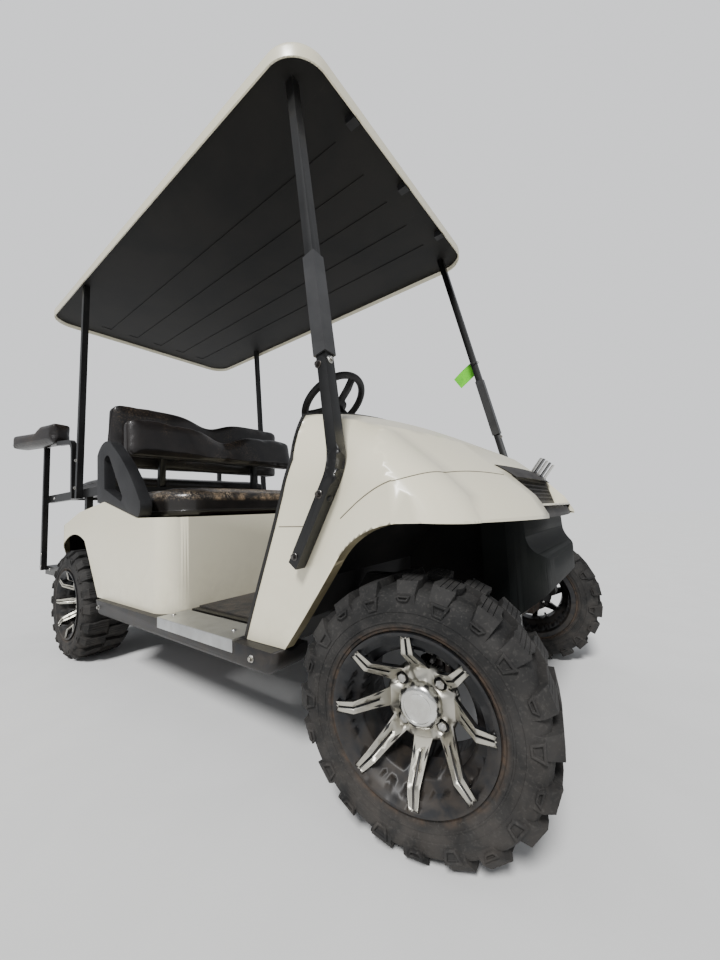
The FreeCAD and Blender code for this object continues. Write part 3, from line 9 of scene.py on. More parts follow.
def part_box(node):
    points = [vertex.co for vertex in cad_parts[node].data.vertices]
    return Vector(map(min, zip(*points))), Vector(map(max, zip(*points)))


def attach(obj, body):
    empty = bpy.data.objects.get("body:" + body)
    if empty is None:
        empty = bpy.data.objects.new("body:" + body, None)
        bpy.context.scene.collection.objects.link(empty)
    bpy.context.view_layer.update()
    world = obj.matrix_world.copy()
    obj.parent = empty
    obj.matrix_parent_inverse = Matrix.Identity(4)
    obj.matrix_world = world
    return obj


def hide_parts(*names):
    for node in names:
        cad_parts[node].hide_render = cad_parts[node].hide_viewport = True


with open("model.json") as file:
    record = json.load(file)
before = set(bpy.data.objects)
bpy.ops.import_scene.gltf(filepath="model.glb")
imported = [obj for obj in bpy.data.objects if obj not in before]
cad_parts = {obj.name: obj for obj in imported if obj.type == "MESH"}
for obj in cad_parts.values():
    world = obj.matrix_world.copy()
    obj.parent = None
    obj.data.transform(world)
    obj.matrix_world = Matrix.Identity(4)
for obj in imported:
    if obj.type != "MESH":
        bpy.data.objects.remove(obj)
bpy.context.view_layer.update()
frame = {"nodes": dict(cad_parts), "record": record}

# Golf cart with a rear-facing second seat. Metres, +X forward, +Y to the cart's left, +Z up.
nodes = frame["nodes"]
record = frame["record"]
slots = {row["node"]: row["material_slot"] for row in record["subparts"]}
bodies = {node: body for body, held in record["behaviour"]["bodies"].items() for node in held}
RIGHT, LEFT = -1, 1
SIDES = ((RIGHT, "right"), (LEFT, "left"))
CHASSIS = "chassis"


def low(node):
    return Vector(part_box(node)[0])


def high(node):
    return Vector(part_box(node)[1])


def middle(node):
    return (low(node) + high(node)) / 2


# Places taken from the frame and the cart's own sizes
WHEELBASE = 1.636
REAR_X = middle("tyre_rear_right").x
FRONT_X = REAR_X + WHEELBASE
TYRE_RADIUS = high("tyre_rear_right").z / 2
TYRE_HALF = 0.095
STEER_REST = math.radians(10.8)
KINGPIN_Y = 0.429
FRONT_LIP_OFFSET = 0.150
REAR_LIP_Y = 0.607
STRUT_FOOT = Vector((FRONT_X - 0.213, 0.5893, 0.474))
STRUT_BEND = Vector((FRONT_X - 0.083, 0.6012, 0.668))
STRUT_HEAD = Vector((FRONT_X - 0.312, 0.4720, 1.785))

# Camera at the photograph's viewing angle
CAMERA_PLACE = (1.4857, -1.1236, 0.5801)
CAMERA_HEADING = 127.01
CAMERA_PITCH = 4.78
CAMERA_ROLL = -2.29
CAMERA_LENS = 13.83
CAMERA_SENSOR = 36
CAMERA_REACH = (0.02, 60)


def add_camera():
    bpy.ops.object.camera_add(location=CAMERA_PLACE)
    camera = bpy.context.object
    turn = (Matrix.Rotation(math.radians(CAMERA_HEADING - 90), 4, "Z")
            @ Matrix.Rotation(math.radians(90 + CAMERA_PITCH), 4, "X")
            @ Matrix.Rotation(math.radians(CAMERA_ROLL), 4, "Z"))
    camera.matrix_world = Matrix.Translation(CAMERA_PLACE) @ turn
    camera.data.lens = CAMERA_LENS
    camera.data.sensor_width = CAMERA_SENSOR
    camera.data.clip_start, camera.data.clip_end = CAMERA_REACH
    bpy.context.scene.camera = camera


# Node groups that several finishes share

def new_group(name, inputs, outputs):
    group = bpy.data.node_groups.new(name, "ShaderNodeTree")
    for label, value in inputs:
        socket = group.interface.new_socket(name=label, in_out="INPUT", socket_type="NodeSocketFloat")
        socket.default_value = value
    for label in outputs:
        group.interface.new_socket(name=label, in_out="OUTPUT", socket_type="NodeSocketFloat")
    return group, group.nodes.new("NodeGroupInput"), group.nodes.new("NodeGroupOutput")


def math_node(tree, operation, first, second):
    node = tree.nodes.new("ShaderNodeMath")
    node.operation = operation
    for socket, value in zip(node.inputs, (first, second)):
        if isinstance(value, (int, float)):
            socket.default_value = value
        else:
            tree.links.new(value, socket)
    return node.outputs["Value"]


def product(tree, first, *others):
    for other in others:
        first = math_node(tree, "MULTIPLY", first, other)
    return first


def noise_node(tree, place, scale, detail, distortion=0.0):
    node = tree.nodes.new("ShaderNodeTexNoise")
    node.inputs["Detail"].default_value = detail
    node.inputs["Distortion"].default_value = distortion
    if isinstance(scale, (int, float)):
        node.inputs["Scale"].default_value = scale
    else:
        tree.links.new(scale, node.inputs["Scale"])
    tree.links.new(place, node.inputs["Vector"])
    return node.outputs["Fac"]


def step_between(tree, value, start, end):
    node = tree.nodes.new("ShaderNodeMapRange")
    node.interpolation_type = "SMOOTHSTEP"
    tree.links.new(value, node.inputs["Value"])
    for label, limit in (("From Min", start), ("From Max", end)):
        if isinstance(limit, (int, float)):
            node.inputs[label].default_value = limit
        else:
            tree.links.new(limit, node.inputs[label])
    return node.outputs["Result"]


def object_place(tree):
    return tree.nodes.new("ShaderNodeTexCoord").outputs["Object"]


def blotches(tree, scale, detail, distortion, start, end):
    """Mask of soft-edged patches, from noise between two levels."""
    return step_between(tree, noise_node(tree, object_place(tree), scale, detail, distortion), start, end)


def mottle_group():
    """Slow, cloudy change of tone and a fine grain, both 0 to 1."""
    group, given, result = new_group("mottle", [("Cloud Scale", 6.0), ("Grain Scale", 400.0)],
                                     ["Cloud", "Grain"])
    place = object_place(group)
    cloud = noise_node(group, place, given.outputs["Cloud Scale"], 5.0, 0.4)
    grain = noise_node(group, place, given.outputs["Grain Scale"], 3.0)
    group.links.new(step_between(group, cloud, 0.32, 0.68), result.inputs["Cloud"])
    group.links.new(grain, result.inputs["Grain"])
    return group


def road_dust_group():
    """Dust that thins out upwards from the ground, broken up by splashes."""
    group, given, result = new_group("road_dust", [("Top", 0.5), ("Strength", 0.5)], ["Mask"])
    place = object_place(group)
    split = group.nodes.new("ShaderNodeSeparateXYZ")
    group.links.new(place, split.inputs["Vector"])
    fade = math_node(group, "SUBTRACT", 1.0, step_between(group, split.outputs["Z"], 0.0,
                                                          given.outputs["Top"]))
    splash = step_between(group, noise_node(group, place, 28.0, 8.0, 0.6), 0.30, 0.72)
    mask = product(group, fade, splash, given.outputs["Strength"])
    group.links.new(mask, result.inputs["Mask"])
    return group


def scuff_group():
    """Fine scratches and rubbed patches."""
    group, given, result = new_group("scuffs", [("Scale", 30.0), ("Amount", 0.3)], ["Mask"])
    place = object_place(group)
    stretch = group.nodes.new("ShaderNodeMapping")
    stretch.inputs["Scale"].default_value = (1.0, 6.0, 9.0)
    stretch.inputs["Rotation"].default_value = (0.3, 0.5, 0.2)
    group.links.new(place, stretch.inputs["Vector"])
    lines = step_between(group, noise_node(group, stretch.outputs["Vector"], given.outputs["Scale"],
                                           6.0, 0.3), 0.60, 0.72)
    patches = step_between(group, noise_node(group, place, 9.0, 4.0), 0.45, 0.7)
    mask = product(group, lines, patches, given.outputs["Amount"])
    group.links.new(mask, result.inputs["Mask"])
    return group


def leather_group():
    """Pebbled grain of stretched vinyl."""
    group, given, result = new_group("vinyl_grain", [("Scale", 260.0)], ["Height"])
    place = object_place(group)
    cells = group.nodes.new("ShaderNodeTexVoronoi")
    cells.feature = "DISTANCE_TO_EDGE"
    group.links.new(given.outputs["Scale"], cells.inputs["Scale"])
    group.links.new(place, cells.inputs["Vector"])
    group.links.new(step_between(group, cells.outputs["Distance"], 0.0, 0.35), result.inputs["Height"])
    return group


MOTTLE = mottle_group()
ROAD_DUST = road_dust_group()
SCUFFS = scuff_group()
VINYL_GRAIN = leather_group()
ROAD_BROWN = (0.24, 0.175, 0.11)
TYRE_DUST = (0.100, 0.086, 0.074)
GRAIN_SPREAD = 0.12
SCUFF_ROUGHENS = 0.15
DUST_ROUGHENS = 0.4
SCUFF_SCALE = 40.0
RELIEF_STRENGTH = 0.6


def group_node(tree, group, **values):
    node = tree.nodes.new("ShaderNodeGroup")
    node.node_tree = group
    for label, value in values.items():
        node.inputs[label.replace("_", " ")].default_value = value
    return node


def mix_color(tree, mask, first, second):
    node = tree.nodes.new("ShaderNodeMix")
    node.data_type = "RGBA"
    colors = [socket for socket in node.inputs if socket.type == "RGBA"]
    for socket, value in zip(colors, (first, second)):
        if isinstance(value, tuple):
            socket.default_value = (*value, 1)
        else:
            tree.links.new(value, socket)
    tree.links.new(mask, node.inputs["Factor"])
    return [socket for socket in node.outputs if socket.type == "RGBA"][0]


def finish(name, color, cloud_color, rough, metal=0.0, coat=0.0, coat_rough=0.08, cloud=6.0,
           grain=400.0, bump=0.00015, scuffs=0.0, scuff_color=(0.3, 0.3, 0.3), dust=0.0,
           dust_top=0.5, vinyl=0.0, dust_color=ROAD_BROWN, specular=0.5):
    """A finish built up as paint is: base and cloudy tone, scuffs, road dust, grain in the height."""
    material = bpy.data.materials.new(name)
    material.use_nodes = True
    tree = material.node_tree
    shader = tree.nodes["Principled BSDF"]
    shader.inputs["Metallic"].default_value = metal
    shader.inputs["Coat Weight"].default_value = coat
    shader.inputs["Coat Roughness"].default_value = coat_rough
    shader.inputs["Specular IOR Level"].default_value = specular
    mottle = group_node(tree, MOTTLE, Cloud_Scale=cloud, Grain_Scale=grain)
    tone = mix_color(tree, mottle.outputs["Cloud"], color, cloud_color)
    roughness = math_node(tree, "ADD", product(tree, mottle.outputs["Grain"], GRAIN_SPREAD),
                          rough - GRAIN_SPREAD / 2)
    if scuffs:
        rubbed = group_node(tree, SCUFFS, Scale=SCUFF_SCALE, Amount=scuffs).outputs["Mask"]
        tone = mix_color(tree, rubbed, tone, scuff_color)
        roughness = math_node(tree, "ADD", roughness, product(tree, rubbed, SCUFF_ROUGHENS))
    if dust:
        dusty = group_node(tree, ROAD_DUST, Top=dust_top, Strength=dust).outputs["Mask"]
        tone = mix_color(tree, dusty, tone, dust_color)
        roughness = math_node(tree, "ADD", roughness, product(tree, dusty, DUST_ROUGHENS))
    height = mottle.outputs["Grain"]
    if vinyl:
        pebbles = group_node(tree, VINYL_GRAIN, Scale=vinyl).outputs["Height"]
        height = math_node(tree, "ADD", height, pebbles)
    relief = tree.nodes.new("ShaderNodeBump")
    relief.inputs["Distance"].default_value = bump
    relief.inputs["Strength"].default_value = RELIEF_STRENGTH
    tree.links.new(height, relief.inputs["Height"])
    tree.links.new(tone, shader.inputs["Base Color"])
    tree.links.new(roughness, shader.inputs["Roughness"])
    tree.links.new(relief.outputs["Normal"], shader.inputs["Normal"])
    return material


def rework_color(material, mask_of, color):
    """Lay one more colour over a finish where a mask says."""
    tree = material.node_tree
    shader = tree.nodes["Principled BSDF"]
    base = shader.inputs["Base Color"].links[0].from_socket
    tree.links.new(mix_color(tree, mask_of(tree), base, color), shader.inputs["Base Color"])
    return material


def rework_height(material, height_of, distance):
    """Add a deeper relief under a finish's own grain."""
    tree = material.node_tree
    fine = next(node for node in tree.nodes if node.bl_idname == "ShaderNodeBump")
    deep = tree.nodes.new("ShaderNodeBump")
    deep.inputs["Distance"].default_value = distance
    deep.inputs["Strength"].default_value = 1.0
    tree.links.new(height_of(tree), deep.inputs["Height"])
    tree.links.new(deep.outputs["Normal"], fine.inputs["Normal"])
    return material


def axis_of(tree, axis):
    split = tree.nodes.new("ShaderNodeSeparateXYZ")
    tree.links.new(object_place(tree), split.inputs["Vector"])
    return split.outputs[axis]


def ridges(tree, axis, pitch, share):
    """Parallel ribs across one axis: 1 on a rib, 0 between."""
    turns = math_node(tree, "MULTIPLY", axis_of(tree, axis), 2 * math.pi / pitch)
    wave = math_node(tree, "SINE", turns, 0.0)
    return step_between(tree, wave, share - 0.3, share + 0.3)


def attribute_of(tree, name):
    node = tree.nodes.new("ShaderNodeAttribute")
    node.attribute_name = name
    return node.outputs["Fac"]


def tyre_rubber():
    material = finish("tyre_rubber", (0.013, 0.013, 0.013), (0.030, 0.029, 0.028), 0.80, cloud=14.0,
                      grain=900.0, bump=0.0004, dust=0.32, dust_top=0.50, dust_color=TYRE_DUST,
                      specular=0.25)

    def rim_dirt(tree):
        near_rim = math_node(tree, "SUBTRACT", 1.0,
                             step_between(tree, attribute_of(tree, "reach"), 0.146, 0.160))
        return product(tree, near_rim, blotches(tree, 45.0, 6.0, 0.8, 0.30, 0.75))

    def speckle(tree):
        return product(tree, blotches(tree, 210.0, 9.0, 0.4, 0.52, 0.72), 0.40)
    rework_color(material, speckle, (0.072, 0.068, 0.062))
    return rework_color(material, rim_dirt, (0.085, 0.058, 0.040))


def wheel_gloss():
    material = finish("wheel_gloss", (0.006, 0.007, 0.009), (0.012, 0.013, 0.015), 0.46, cloud=20.0,
                      grain=600.0, bump=0.00008, scuffs=0.25, scuff_color=(0.07, 0.07, 0.07),
                      dust=0.15, dust_top=0.40, specular=0.4)

    def lip_dirt(tree):
        near_lip = step_between(tree, attribute_of(tree, "reach"), 0.120, 0.143)
        return product(tree, near_lip, blotches(tree, 60.0, 7.0, 0.5, 0.35, 0.8), 0.3)
    return rework_color(material, lip_dirt, (0.050, 0.043, 0.036))


def seat_vinyl():
    material = finish("seat_vinyl", (0.008, 0.007, 0.007), (0.017, 0.015, 0.014), 0.30, coat=0.35,
                      cloud=9.0, grain=900.0, bump=0.0003, vinyl=230.0, specular=0.35)

    def worn(tree):
        specks = blotches(tree, 170.0, 6.0, 0.4, 0.50, 0.58)
        patches = blotches(tree, 4.5, 6.0, 0.3, 0.36, 0.60)
        top = step_between(tree, axis_of(tree, "Z"), SEAT_EDGE_Z - 0.030, SEAT_EDGE_Z)
        return product(tree, specks, patches, top)

    def front_edge(tree):
        ahead = step_between(tree, axis_of(tree, "X"), SEAT_FRONT_X - 0.034, SEAT_FRONT_X - 0.016)
        above = step_between(tree, axis_of(tree, "Z"), SEAT_EDGE_Z - 0.030, SEAT_EDGE_Z - 0.014)
        streaks = blotches(tree, 14.0, 12.0, 0.5, 0.44, 0.62)
        fine = blotches(tree, 230.0, 6.0, 0.4, 0.40, 0.52)
        return product(tree, ahead, above, streaks, fine)
    rework_color(material, worn, (0.40, 0.31, 0.21))
    return rework_color(material, front_edge, (0.44, 0.31, 0.19))


def back_vinyl():
    material = finish("back_vinyl", (0.008, 0.007, 0.007), (0.018, 0.015, 0.014), 0.34, coat=0.28,
                      cloud=8.0, grain=900.0, bump=0.0003, vinyl=230.0, specular=0.35)

    def worn(tree):
        specks = blotches(tree, 150.0, 12.0, 1.0, 0.50, 0.66)
        patches = blotches(tree, 7.0, 3.0, 0.3, 0.48, 0.72)
        return product(tree, specks, patches, 0.30)
    return rework_color(material, worn, (0.24, 0.17, 0.11))


def floor_rubber():
    material = finish("floor_rubber", (0.018, 0.018, 0.019), (0.038, 0.036, 0.034), 0.66, cloud=10.0,
                      grain=700.0, bump=0.0003, scuffs=0.4, scuff_color=(0.12, 0.12, 0.12), dust=0.3,
                      dust_top=0.55, specular=0.4)

    def ribs(tree):
        return ridges(tree, "Y", 0.012, 0.1)
    return rework_height(material, ribs, 0.0015)


def cream_gelcoat():
    return finish("cream_gelcoat", (0.815, 0.765, 0.590), (0.795, 0.742, 0.565), 0.32, coat=0.5,
                  coat_rough=0.26, cloud=3.0, grain=120.0, bump=0.00006, scuffs=0.10,
                  scuff_color=(0.80, 0.77, 0.66), dust=0.20, dust_top=0.60)


def brushed_aluminium(name, color, rough, dust):
    material = finish(name, color, tuple(0.82 * part for part in color), rough, metal=1.0, cloud=12.0,
                      grain=500.0, bump=0.00006, scuffs=0.35, scuff_color=(0.75, 0.75, 0.75), dust=dust,
                      dust_top=0.45)

    def brush(tree):
        stretch = tree.nodes.new("ShaderNodeMapping")
        stretch.inputs["Scale"].default_value = (4.0, 220.0, 220.0)
        tree.links.new(object_place(tree), stretch.inputs["Vector"])
        return noise_node(tree, stretch.outputs["Vector"], 6.0, 3.0)
    return rework_height(material, brush, 0.00012)


SEAT_EDGE_Z = high("seat_cushion").z - 0.020
SEAT_FRONT_X = high("seat_cushion").x
FINISHES = {
    "body_cream": cream_gelcoat(),
    "liner_black": finish("liner_black", (0.006, 0.006, 0.006), (0.011, 0.010, 0.009), 0.62, cloud=4.0,
                          grain=300.0, bump=0.0003, scuffs=0.25, scuff_color=(0.04, 0.036, 0.032),
                          specular=0.25),
    "dark_plastic": finish("dark_plastic", (0.010, 0.010, 0.011), (0.019, 0.019, 0.020), 0.46,
                           cloud=8.0, grain=900.0, bump=0.00025, scuffs=0.35,
                           scuff_color=(0.08, 0.08, 0.08), dust=0.2, dust_top=0.45, specular=0.35),
    "black_paint": finish("black_paint", (0.005, 0.005, 0.005), (0.009, 0.009, 0.009), 0.38, coat=0.12,
                          cloud=11.0, grain=250.0, bump=0.00008, scuffs=0.2,
                          scuff_color=(0.05, 0.047, 0.043), dust=0.10, dust_top=0.45, specular=0.3),
    "grey_paint": finish("grey_paint", (0.026, 0.026, 0.027), (0.038, 0.038, 0.039), 0.36, coat=0.15,
                         cloud=14.0, grain=250.0, bump=0.00008, scuffs=0.3,
                         scuff_color=(0.12, 0.12, 0.12), specular=0.35),
    "black_vinyl": back_vinyl(),
    "aluminium": brushed_aluminium("tread_aluminium", (0.60, 0.61, 0.61), 0.42, 0.3),
    "black_rubber": finish("black_rubber", (0.010, 0.010, 0.010), (0.020, 0.019, 0.018), 0.55,
                           cloud=15.0, grain=800.0, bump=0.0002, scuffs=0.2,
                           scuff_color=(0.07, 0.07, 0.07), dust=0.15, dust_top=0.4, specular=0.35),
    "tyre": tyre_rubber(),
    "wheel_black": wheel_gloss(),
    "axle_iron": finish("axle_iron", (0.018, 0.016, 0.014), (0.050, 0.028, 0.017), 0.75, cloud=30.0,
                        grain=300.0, bump=0.0006, dust=0.5, dust_top=0.40, dust_color=TYRE_DUST),
    "bare_steel": finish("bare_steel", (0.36, 0.35, 0.34), (0.20, 0.14, 0.10), 0.42, metal=1.0,
                         cloud=25.0, grain=400.0, bump=0.0001, dust=0.4, dust_top=0.35),
    "battery_case": finish("battery_case", (0.060, 0.014, 0.010), (0.045, 0.016, 0.012), 0.55,
                           cloud=9.0, grain=500.0, bump=0.0002, dust=0.6, dust_top=0.6),
}
SEAT_VINYL = seat_vinyl()
FLOOR_RUBBER = floor_rubber()
MACHINED = brushed_aluminium("machined_face", (0.60, 0.58, 0.51), 0.38, 0.15)
CAP_CHROME = finish("cap_chrome", (0.74, 0.74, 0.71), (0.62, 0.61, 0.57), 0.24, metal=1.0, cloud=50.0,
                    grain=800.0, bump=0.00005, scuffs=0.3, scuff_color=(0.40, 0.38, 0.34))
ZINC = finish("zinc_plate", (0.55, 0.55, 0.53), (0.42, 0.40, 0.36), 0.30, metal=1.0, cloud=60.0,
              grain=900.0, bump=0.00005, scuffs=0.3, scuff_color=(0.35, 0.25, 0.18))
DARK_STEEL = finish("dark_steel", (0.16, 0.155, 0.15), (0.10, 0.085, 0.075), 0.36, metal=1.0, cloud=60.0,
                    grain=900.0, bump=0.00005, scuffs=0.3, scuff_color=(0.35, 0.33, 0.30))
TAG_GREEN = finish("tag_green", (0.16, 0.72, 0.02), (0.12, 0.60, 0.02), 0.42, cloud=25.0, grain=500.0,
                   bump=0.0001)
GRILLE_SATIN = finish("grille_satin", (0.020, 0.018, 0.017), (0.040, 0.037, 0.034), 0.50, cloud=18.0,
                      grain=500.0, bump=0.0001, scuffs=0.25, scuff_color=(0.08, 0.075, 0.07),
                      specular=0.2)
# Apron: dark plastic, darkened further to near black as painted shade for the body's shadow on it
APRON_BLACK_AND_SHADE = finish("apron_black_and_shade", (0.003, 0.004, 0.004), (0.006, 0.007, 0.006), 0.60, cloud=12.0,
                     grain=700.0, bump=0.0002, scuffs=0.2, scuff_color=(0.02, 0.02, 0.02),
                     specular=0.12)
# Painted shade: near-black with some road dust, for the body shells' inner faces (cream plastic in truth)
# and for the sheets over the front wheels, standing in for the shade inside the cowl and arches
PAINTED_SHADE_BLACK = finish("painted_shade_black", (0.006, 0.006, 0.006), (0.012, 0.011, 0.010), 0.80, cloud=10.0,
                      grain=500.0, bump=0.0003, dust=0.3, dust_top=0.5, dust_color=TYRE_DUST,
                      specular=0.15)
# Painted shade: the cream of the wheel arches' inner lip, darkened to olive as it looks in shade
ARCH_EDGE_SHADE = finish("arch_edge_shade", (0.26, 0.225, 0.135), (0.18, 0.15, 0.085), 0.5, cloud=14.0, grain=400.0,
                   bump=0.0002, specular=0.3)
# Dark line colour: the hood seam's joint, and painted shade along the side panel's step
SEAM_DARK_AND_STEP_SHADE = finish("seam_dark_and_step_shade", (0.10, 0.085, 0.055), (0.16, 0.135, 0.09), 0.6, cloud=40.0, grain=600.0,
                   bump=0.0001)


# Making and placing pieces
MERGE_GAP = 0.00002

def clear_selection():
    if bpy.context.object and bpy.context.object.mode != "OBJECT":
        bpy.ops.object.mode_set(mode="OBJECT")
    bpy.ops.object.select_all(action="DESELECT")


def only(piece):
    clear_selection()
    piece.select_set(True)
    bpy.context.view_layer.objects.active = piece


def edit(piece, kind="FACE"):
    only(piece)
    bpy.ops.object.mode_set(mode="EDIT")
    bpy.ops.mesh.select_mode(type=kind)


def select_all():
    bpy.ops.mesh.select_all(action="SELECT")


def extrude(x, y, z):
    bpy.ops.mesh.extrude_region_move(TRANSFORM_OT_translate={"value": (x, y, z)})


def merge_points(piece):
    edit(piece, "VERT")
    select_all()
    bpy.ops.mesh.remove_doubles(threshold=MERGE_GAP)
    clear_selection()


def face_outwards(piece):
    edit(piece)
    select_all()
    bpy.ops.mesh.normals_make_consistent(inside=False)
    clear_selection()


def select_faces(piece, test):
    """In edit mode, select the faces whose centre and normal pass the test."""
    bpy.ops.mesh.select_all(action="DESELECT")
    bpy.ops.object.mode_set(mode="OBJECT")
    for face in piece.data.polygons:
        face.select = bool(test(face.center, face.normal))
    bpy.ops.object.mode_set(mode="EDIT")


def select_edges(piece, test):
    """In edit mode, select the edges whose two ends both pass the test."""
    bpy.ops.mesh.select_mode(type="EDGE")
    bpy.ops.mesh.select_all(action="DESELECT")
    bpy.ops.object.mode_set(mode="OBJECT")
    points = piece.data.vertices
    for edge in piece.data.edges:
        edge.select = all(test(points[i].co) for i in edge.vertices)
    bpy.ops.object.mode_set(mode="EDIT")


def apply_place(piece):
    only(piece)
    bpy.ops.object.transform_apply(location=True, rotation=True, scale=True)


def apply_modifier(piece, kind, **settings):
    only(piece)
    modifier = piece.modifiers.new(kind.lower(), kind)
    for label, value in settings.items():
        setattr(modifier, label, value)
    bpy.ops.object.modifier_apply(modifier=modifier.name)


def ease_edges(piece, width, segments, degrees):
    """Bevel each edge that is sharper than an angle."""
    apply_modifier(piece, "BEVEL", width=width, segments=segments, limit_method="ANGLE",
                   angle_limit=math.radians(degrees))


def start_box(name, corner, far_corner):
    clear_selection()
    corner, far_corner = Vector(corner), Vector(far_corner)
    bpy.ops.mesh.primitive_cube_add(size=1, location=(corner + far_corner) / 2,
                                    scale=far_corner - corner)
    piece = bpy.context.object
    piece.name = name
    apply_place(piece)
    return piece


def turned(name, profile, steps=48, closed=False):
    """A ring pulled from row to row of (radius, height) about Z; open ends are capped unless closed."""
    clear_selection()
    radius, height = profile[0]
    bpy.ops.mesh.primitive_circle_add(vertices=steps, radius=radius, location=(0, 0, height))
    piece = bpy.context.object
    piece.name = name
    apply_place(piece)
    edit(piece, "EDGE")
    select_all()
    if not closed:
        bpy.ops.mesh.edge_face_add()
        bpy.ops.mesh.select_mode(type="EDGE")
    for next_radius, next_height in profile[1:]:
        extrude(0, 0, next_height - height)
        share = next_radius / radius
        bpy.ops.transform.resize(value=(share, share, 1), center_override=(0, 0, 0))
        radius, height = next_radius, next_height
    merge_points(piece)
    face_outwards(piece)
    return piece


def pulled_sheet(name, path, near, far):
    """A strip from y = near to y = far, pulled from point to point of a path of (x, z)."""
    clear_selection()
    bpy.ops.mesh.primitive_plane_add(size=1)
    piece = bpy.context.object
    piece.name = name
    ends = [(*path[0], near), (*path[0], far), (*path[1], near), (*path[1], far)]
    order = sorted(piece.data.vertices, key=lambda vertex: (vertex.co.x, vertex.co.y))
    for vertex, (x, z, y) in zip(order, ends):
        vertex.co = (x, y, z)
    edit(piece, "EDGE")
    for (x, z), (next_x, next_z) in zip(path[1:], path[2:]):
        select_edges(piece, lambda point: math.hypot(point.x - x, point.z - z) < 0.0001)
        extrude(next_x - x, 0, next_z - z)
    clear_selection()
    return piece


def smooth(piece, degrees=35):
    only(piece)
    bpy.ops.object.shade_smooth_by_angle(angle=math.radians(degrees))


def converted(piece, target):
    only(piece)
    bpy.ops.object.convert(target=target)
    return bpy.context.object


def duplicated(piece, name):
    only(piece)
    bpy.ops.object.duplicate(linked=False)
    copy = bpy.context.object
    copy.name = name
    return copy


def own_copy(piece, name, place):
    copy = duplicated(piece, name)
    copy.matrix_world = place @ copy.matrix_world
    apply_place(copy)
    return copy


def drop(*pieces):
    clear_selection()
    for piece in pieces:
        piece.select_set(True)
    bpy.ops.object.delete()


def joined(name, pieces):
    clear_selection()
    for piece in pieces:
        piece.select_set(True)
    bpy.context.view_layer.objects.active = pieces[0]
    bpy.ops.object.join()
    whole = bpy.context.object
    whole.name = name
    return whole


def paint(piece, *finishes):
    piece.data.materials.clear()
    for material in finishes:
        piece.data.materials.append(material)


def settle(piece, body, slot, *stands_for, material=None):
    """Give a finished piece its finish and its body, and hide the CAD nodes that it stands for."""
    apply_place(piece)
    if material or not piece.data.materials:
        paint(piece, material or FINISHES[slot])
    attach(piece, body)
    if stands_for:
        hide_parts(*stands_for)
    return piece


def cad_copy(node, name):
    """A merged copy of a CAD node's mesh, free to be worked on."""
    piece = duplicated(nodes[node], name)
    piece.parent = None
    piece.modifiers.clear()
    merge_points(piece)
    return piece


def skin(node, degrees=35, material=None):
    """The node's own form with its curves shaded smooth."""
    piece = cad_copy(node, node + "_skin")
    smooth(piece, degrees)
    return settle(piece, bodies[node], slots[node], node, material=material or FINISHES[slots[node]])


def surface_of(*names):
    """Search tree over the faces of CAD nodes, to set a small piece on what carries it."""
    points, faces = [], []
    for name in names:
        mesh = nodes[name].data
        first = len(points)
        points += [vertex.co.copy() for vertex in mesh.vertices]
        faces += [[first + i for i in face.vertices] for face in mesh.polygons]
    return BVHTree.FromPolygons(points, faces)


def upright(axis):
    """Turn that brings a piece made along Z to lie along an axis."""
    return Vector(axis).to_track_quat("Z", "Y").to_matrix().to_4x4()


# Wheels and tyres, made with the outside towards +Z and the outer lip plane at Z = 0

def wheel_place(side, front):
    facing = Matrix.Rotation(math.radians(-90 * side), 4, "X")
    if not front:
        return Matrix.Translation((REAR_X, side * REAR_LIP_Y, TYRE_RADIUS)) @ facing
    x = FRONT_X - side * FRONT_LIP_OFFSET * math.sin(STEER_REST)
    y = side * (KINGPIN_Y + FRONT_LIP_OFFSET * math.cos(STEER_REST))
    steered = Matrix.Rotation(STEER_REST, 4, "Z")
    return Matrix.Translation((x, y, TYRE_RADIUS)) @ steered @ facing


LUG_COUNT = 20
LUG_PITCH = 2 * math.pi / LUG_COUNT
LUG_HALF = 0.0205
SHOULDER = 0.073
WALL_OUT = 0.0925
SIPE_WIDTH = 0.0011
SIPE_DEPTH = 0.005
SIPES = (-0.0095, 0.0005, 0.0105)
# Carcass from the middle of the tread to the bead: radius, distance from the middle
CARCASS = [(0.2160, 0.000), (0.2155, 0.060), (0.2135, 0.074), (0.2060, 0.0845), (0.1960, 0.0900),
           (0.1850, WALL_OUT), (0.1780, 0.0930), (0.1772, 0.0918), (0.1640, 0.0918), (0.1634, 0.0930),
           (0.1610, 0.0930), (0.1602, 0.0915), (0.1520, 0.0895), (0.1500, 0.0870), (0.1460, 0.0862),
           (0.1440, 0.0835), (0.1276, 0.0830)]


def set_reach(piece, back=Matrix.Identity(4)):
    """Keep each point's distance from the wheel's axis, for finishes that follow it."""
    reach = piece.data.attributes.new("reach", "FLOAT", "POINT")
    for vertex, value in zip(piece.data.vertices, reach.data):
        local = back @ vertex.co
        value.value = math.hypot(local.x, local.y)


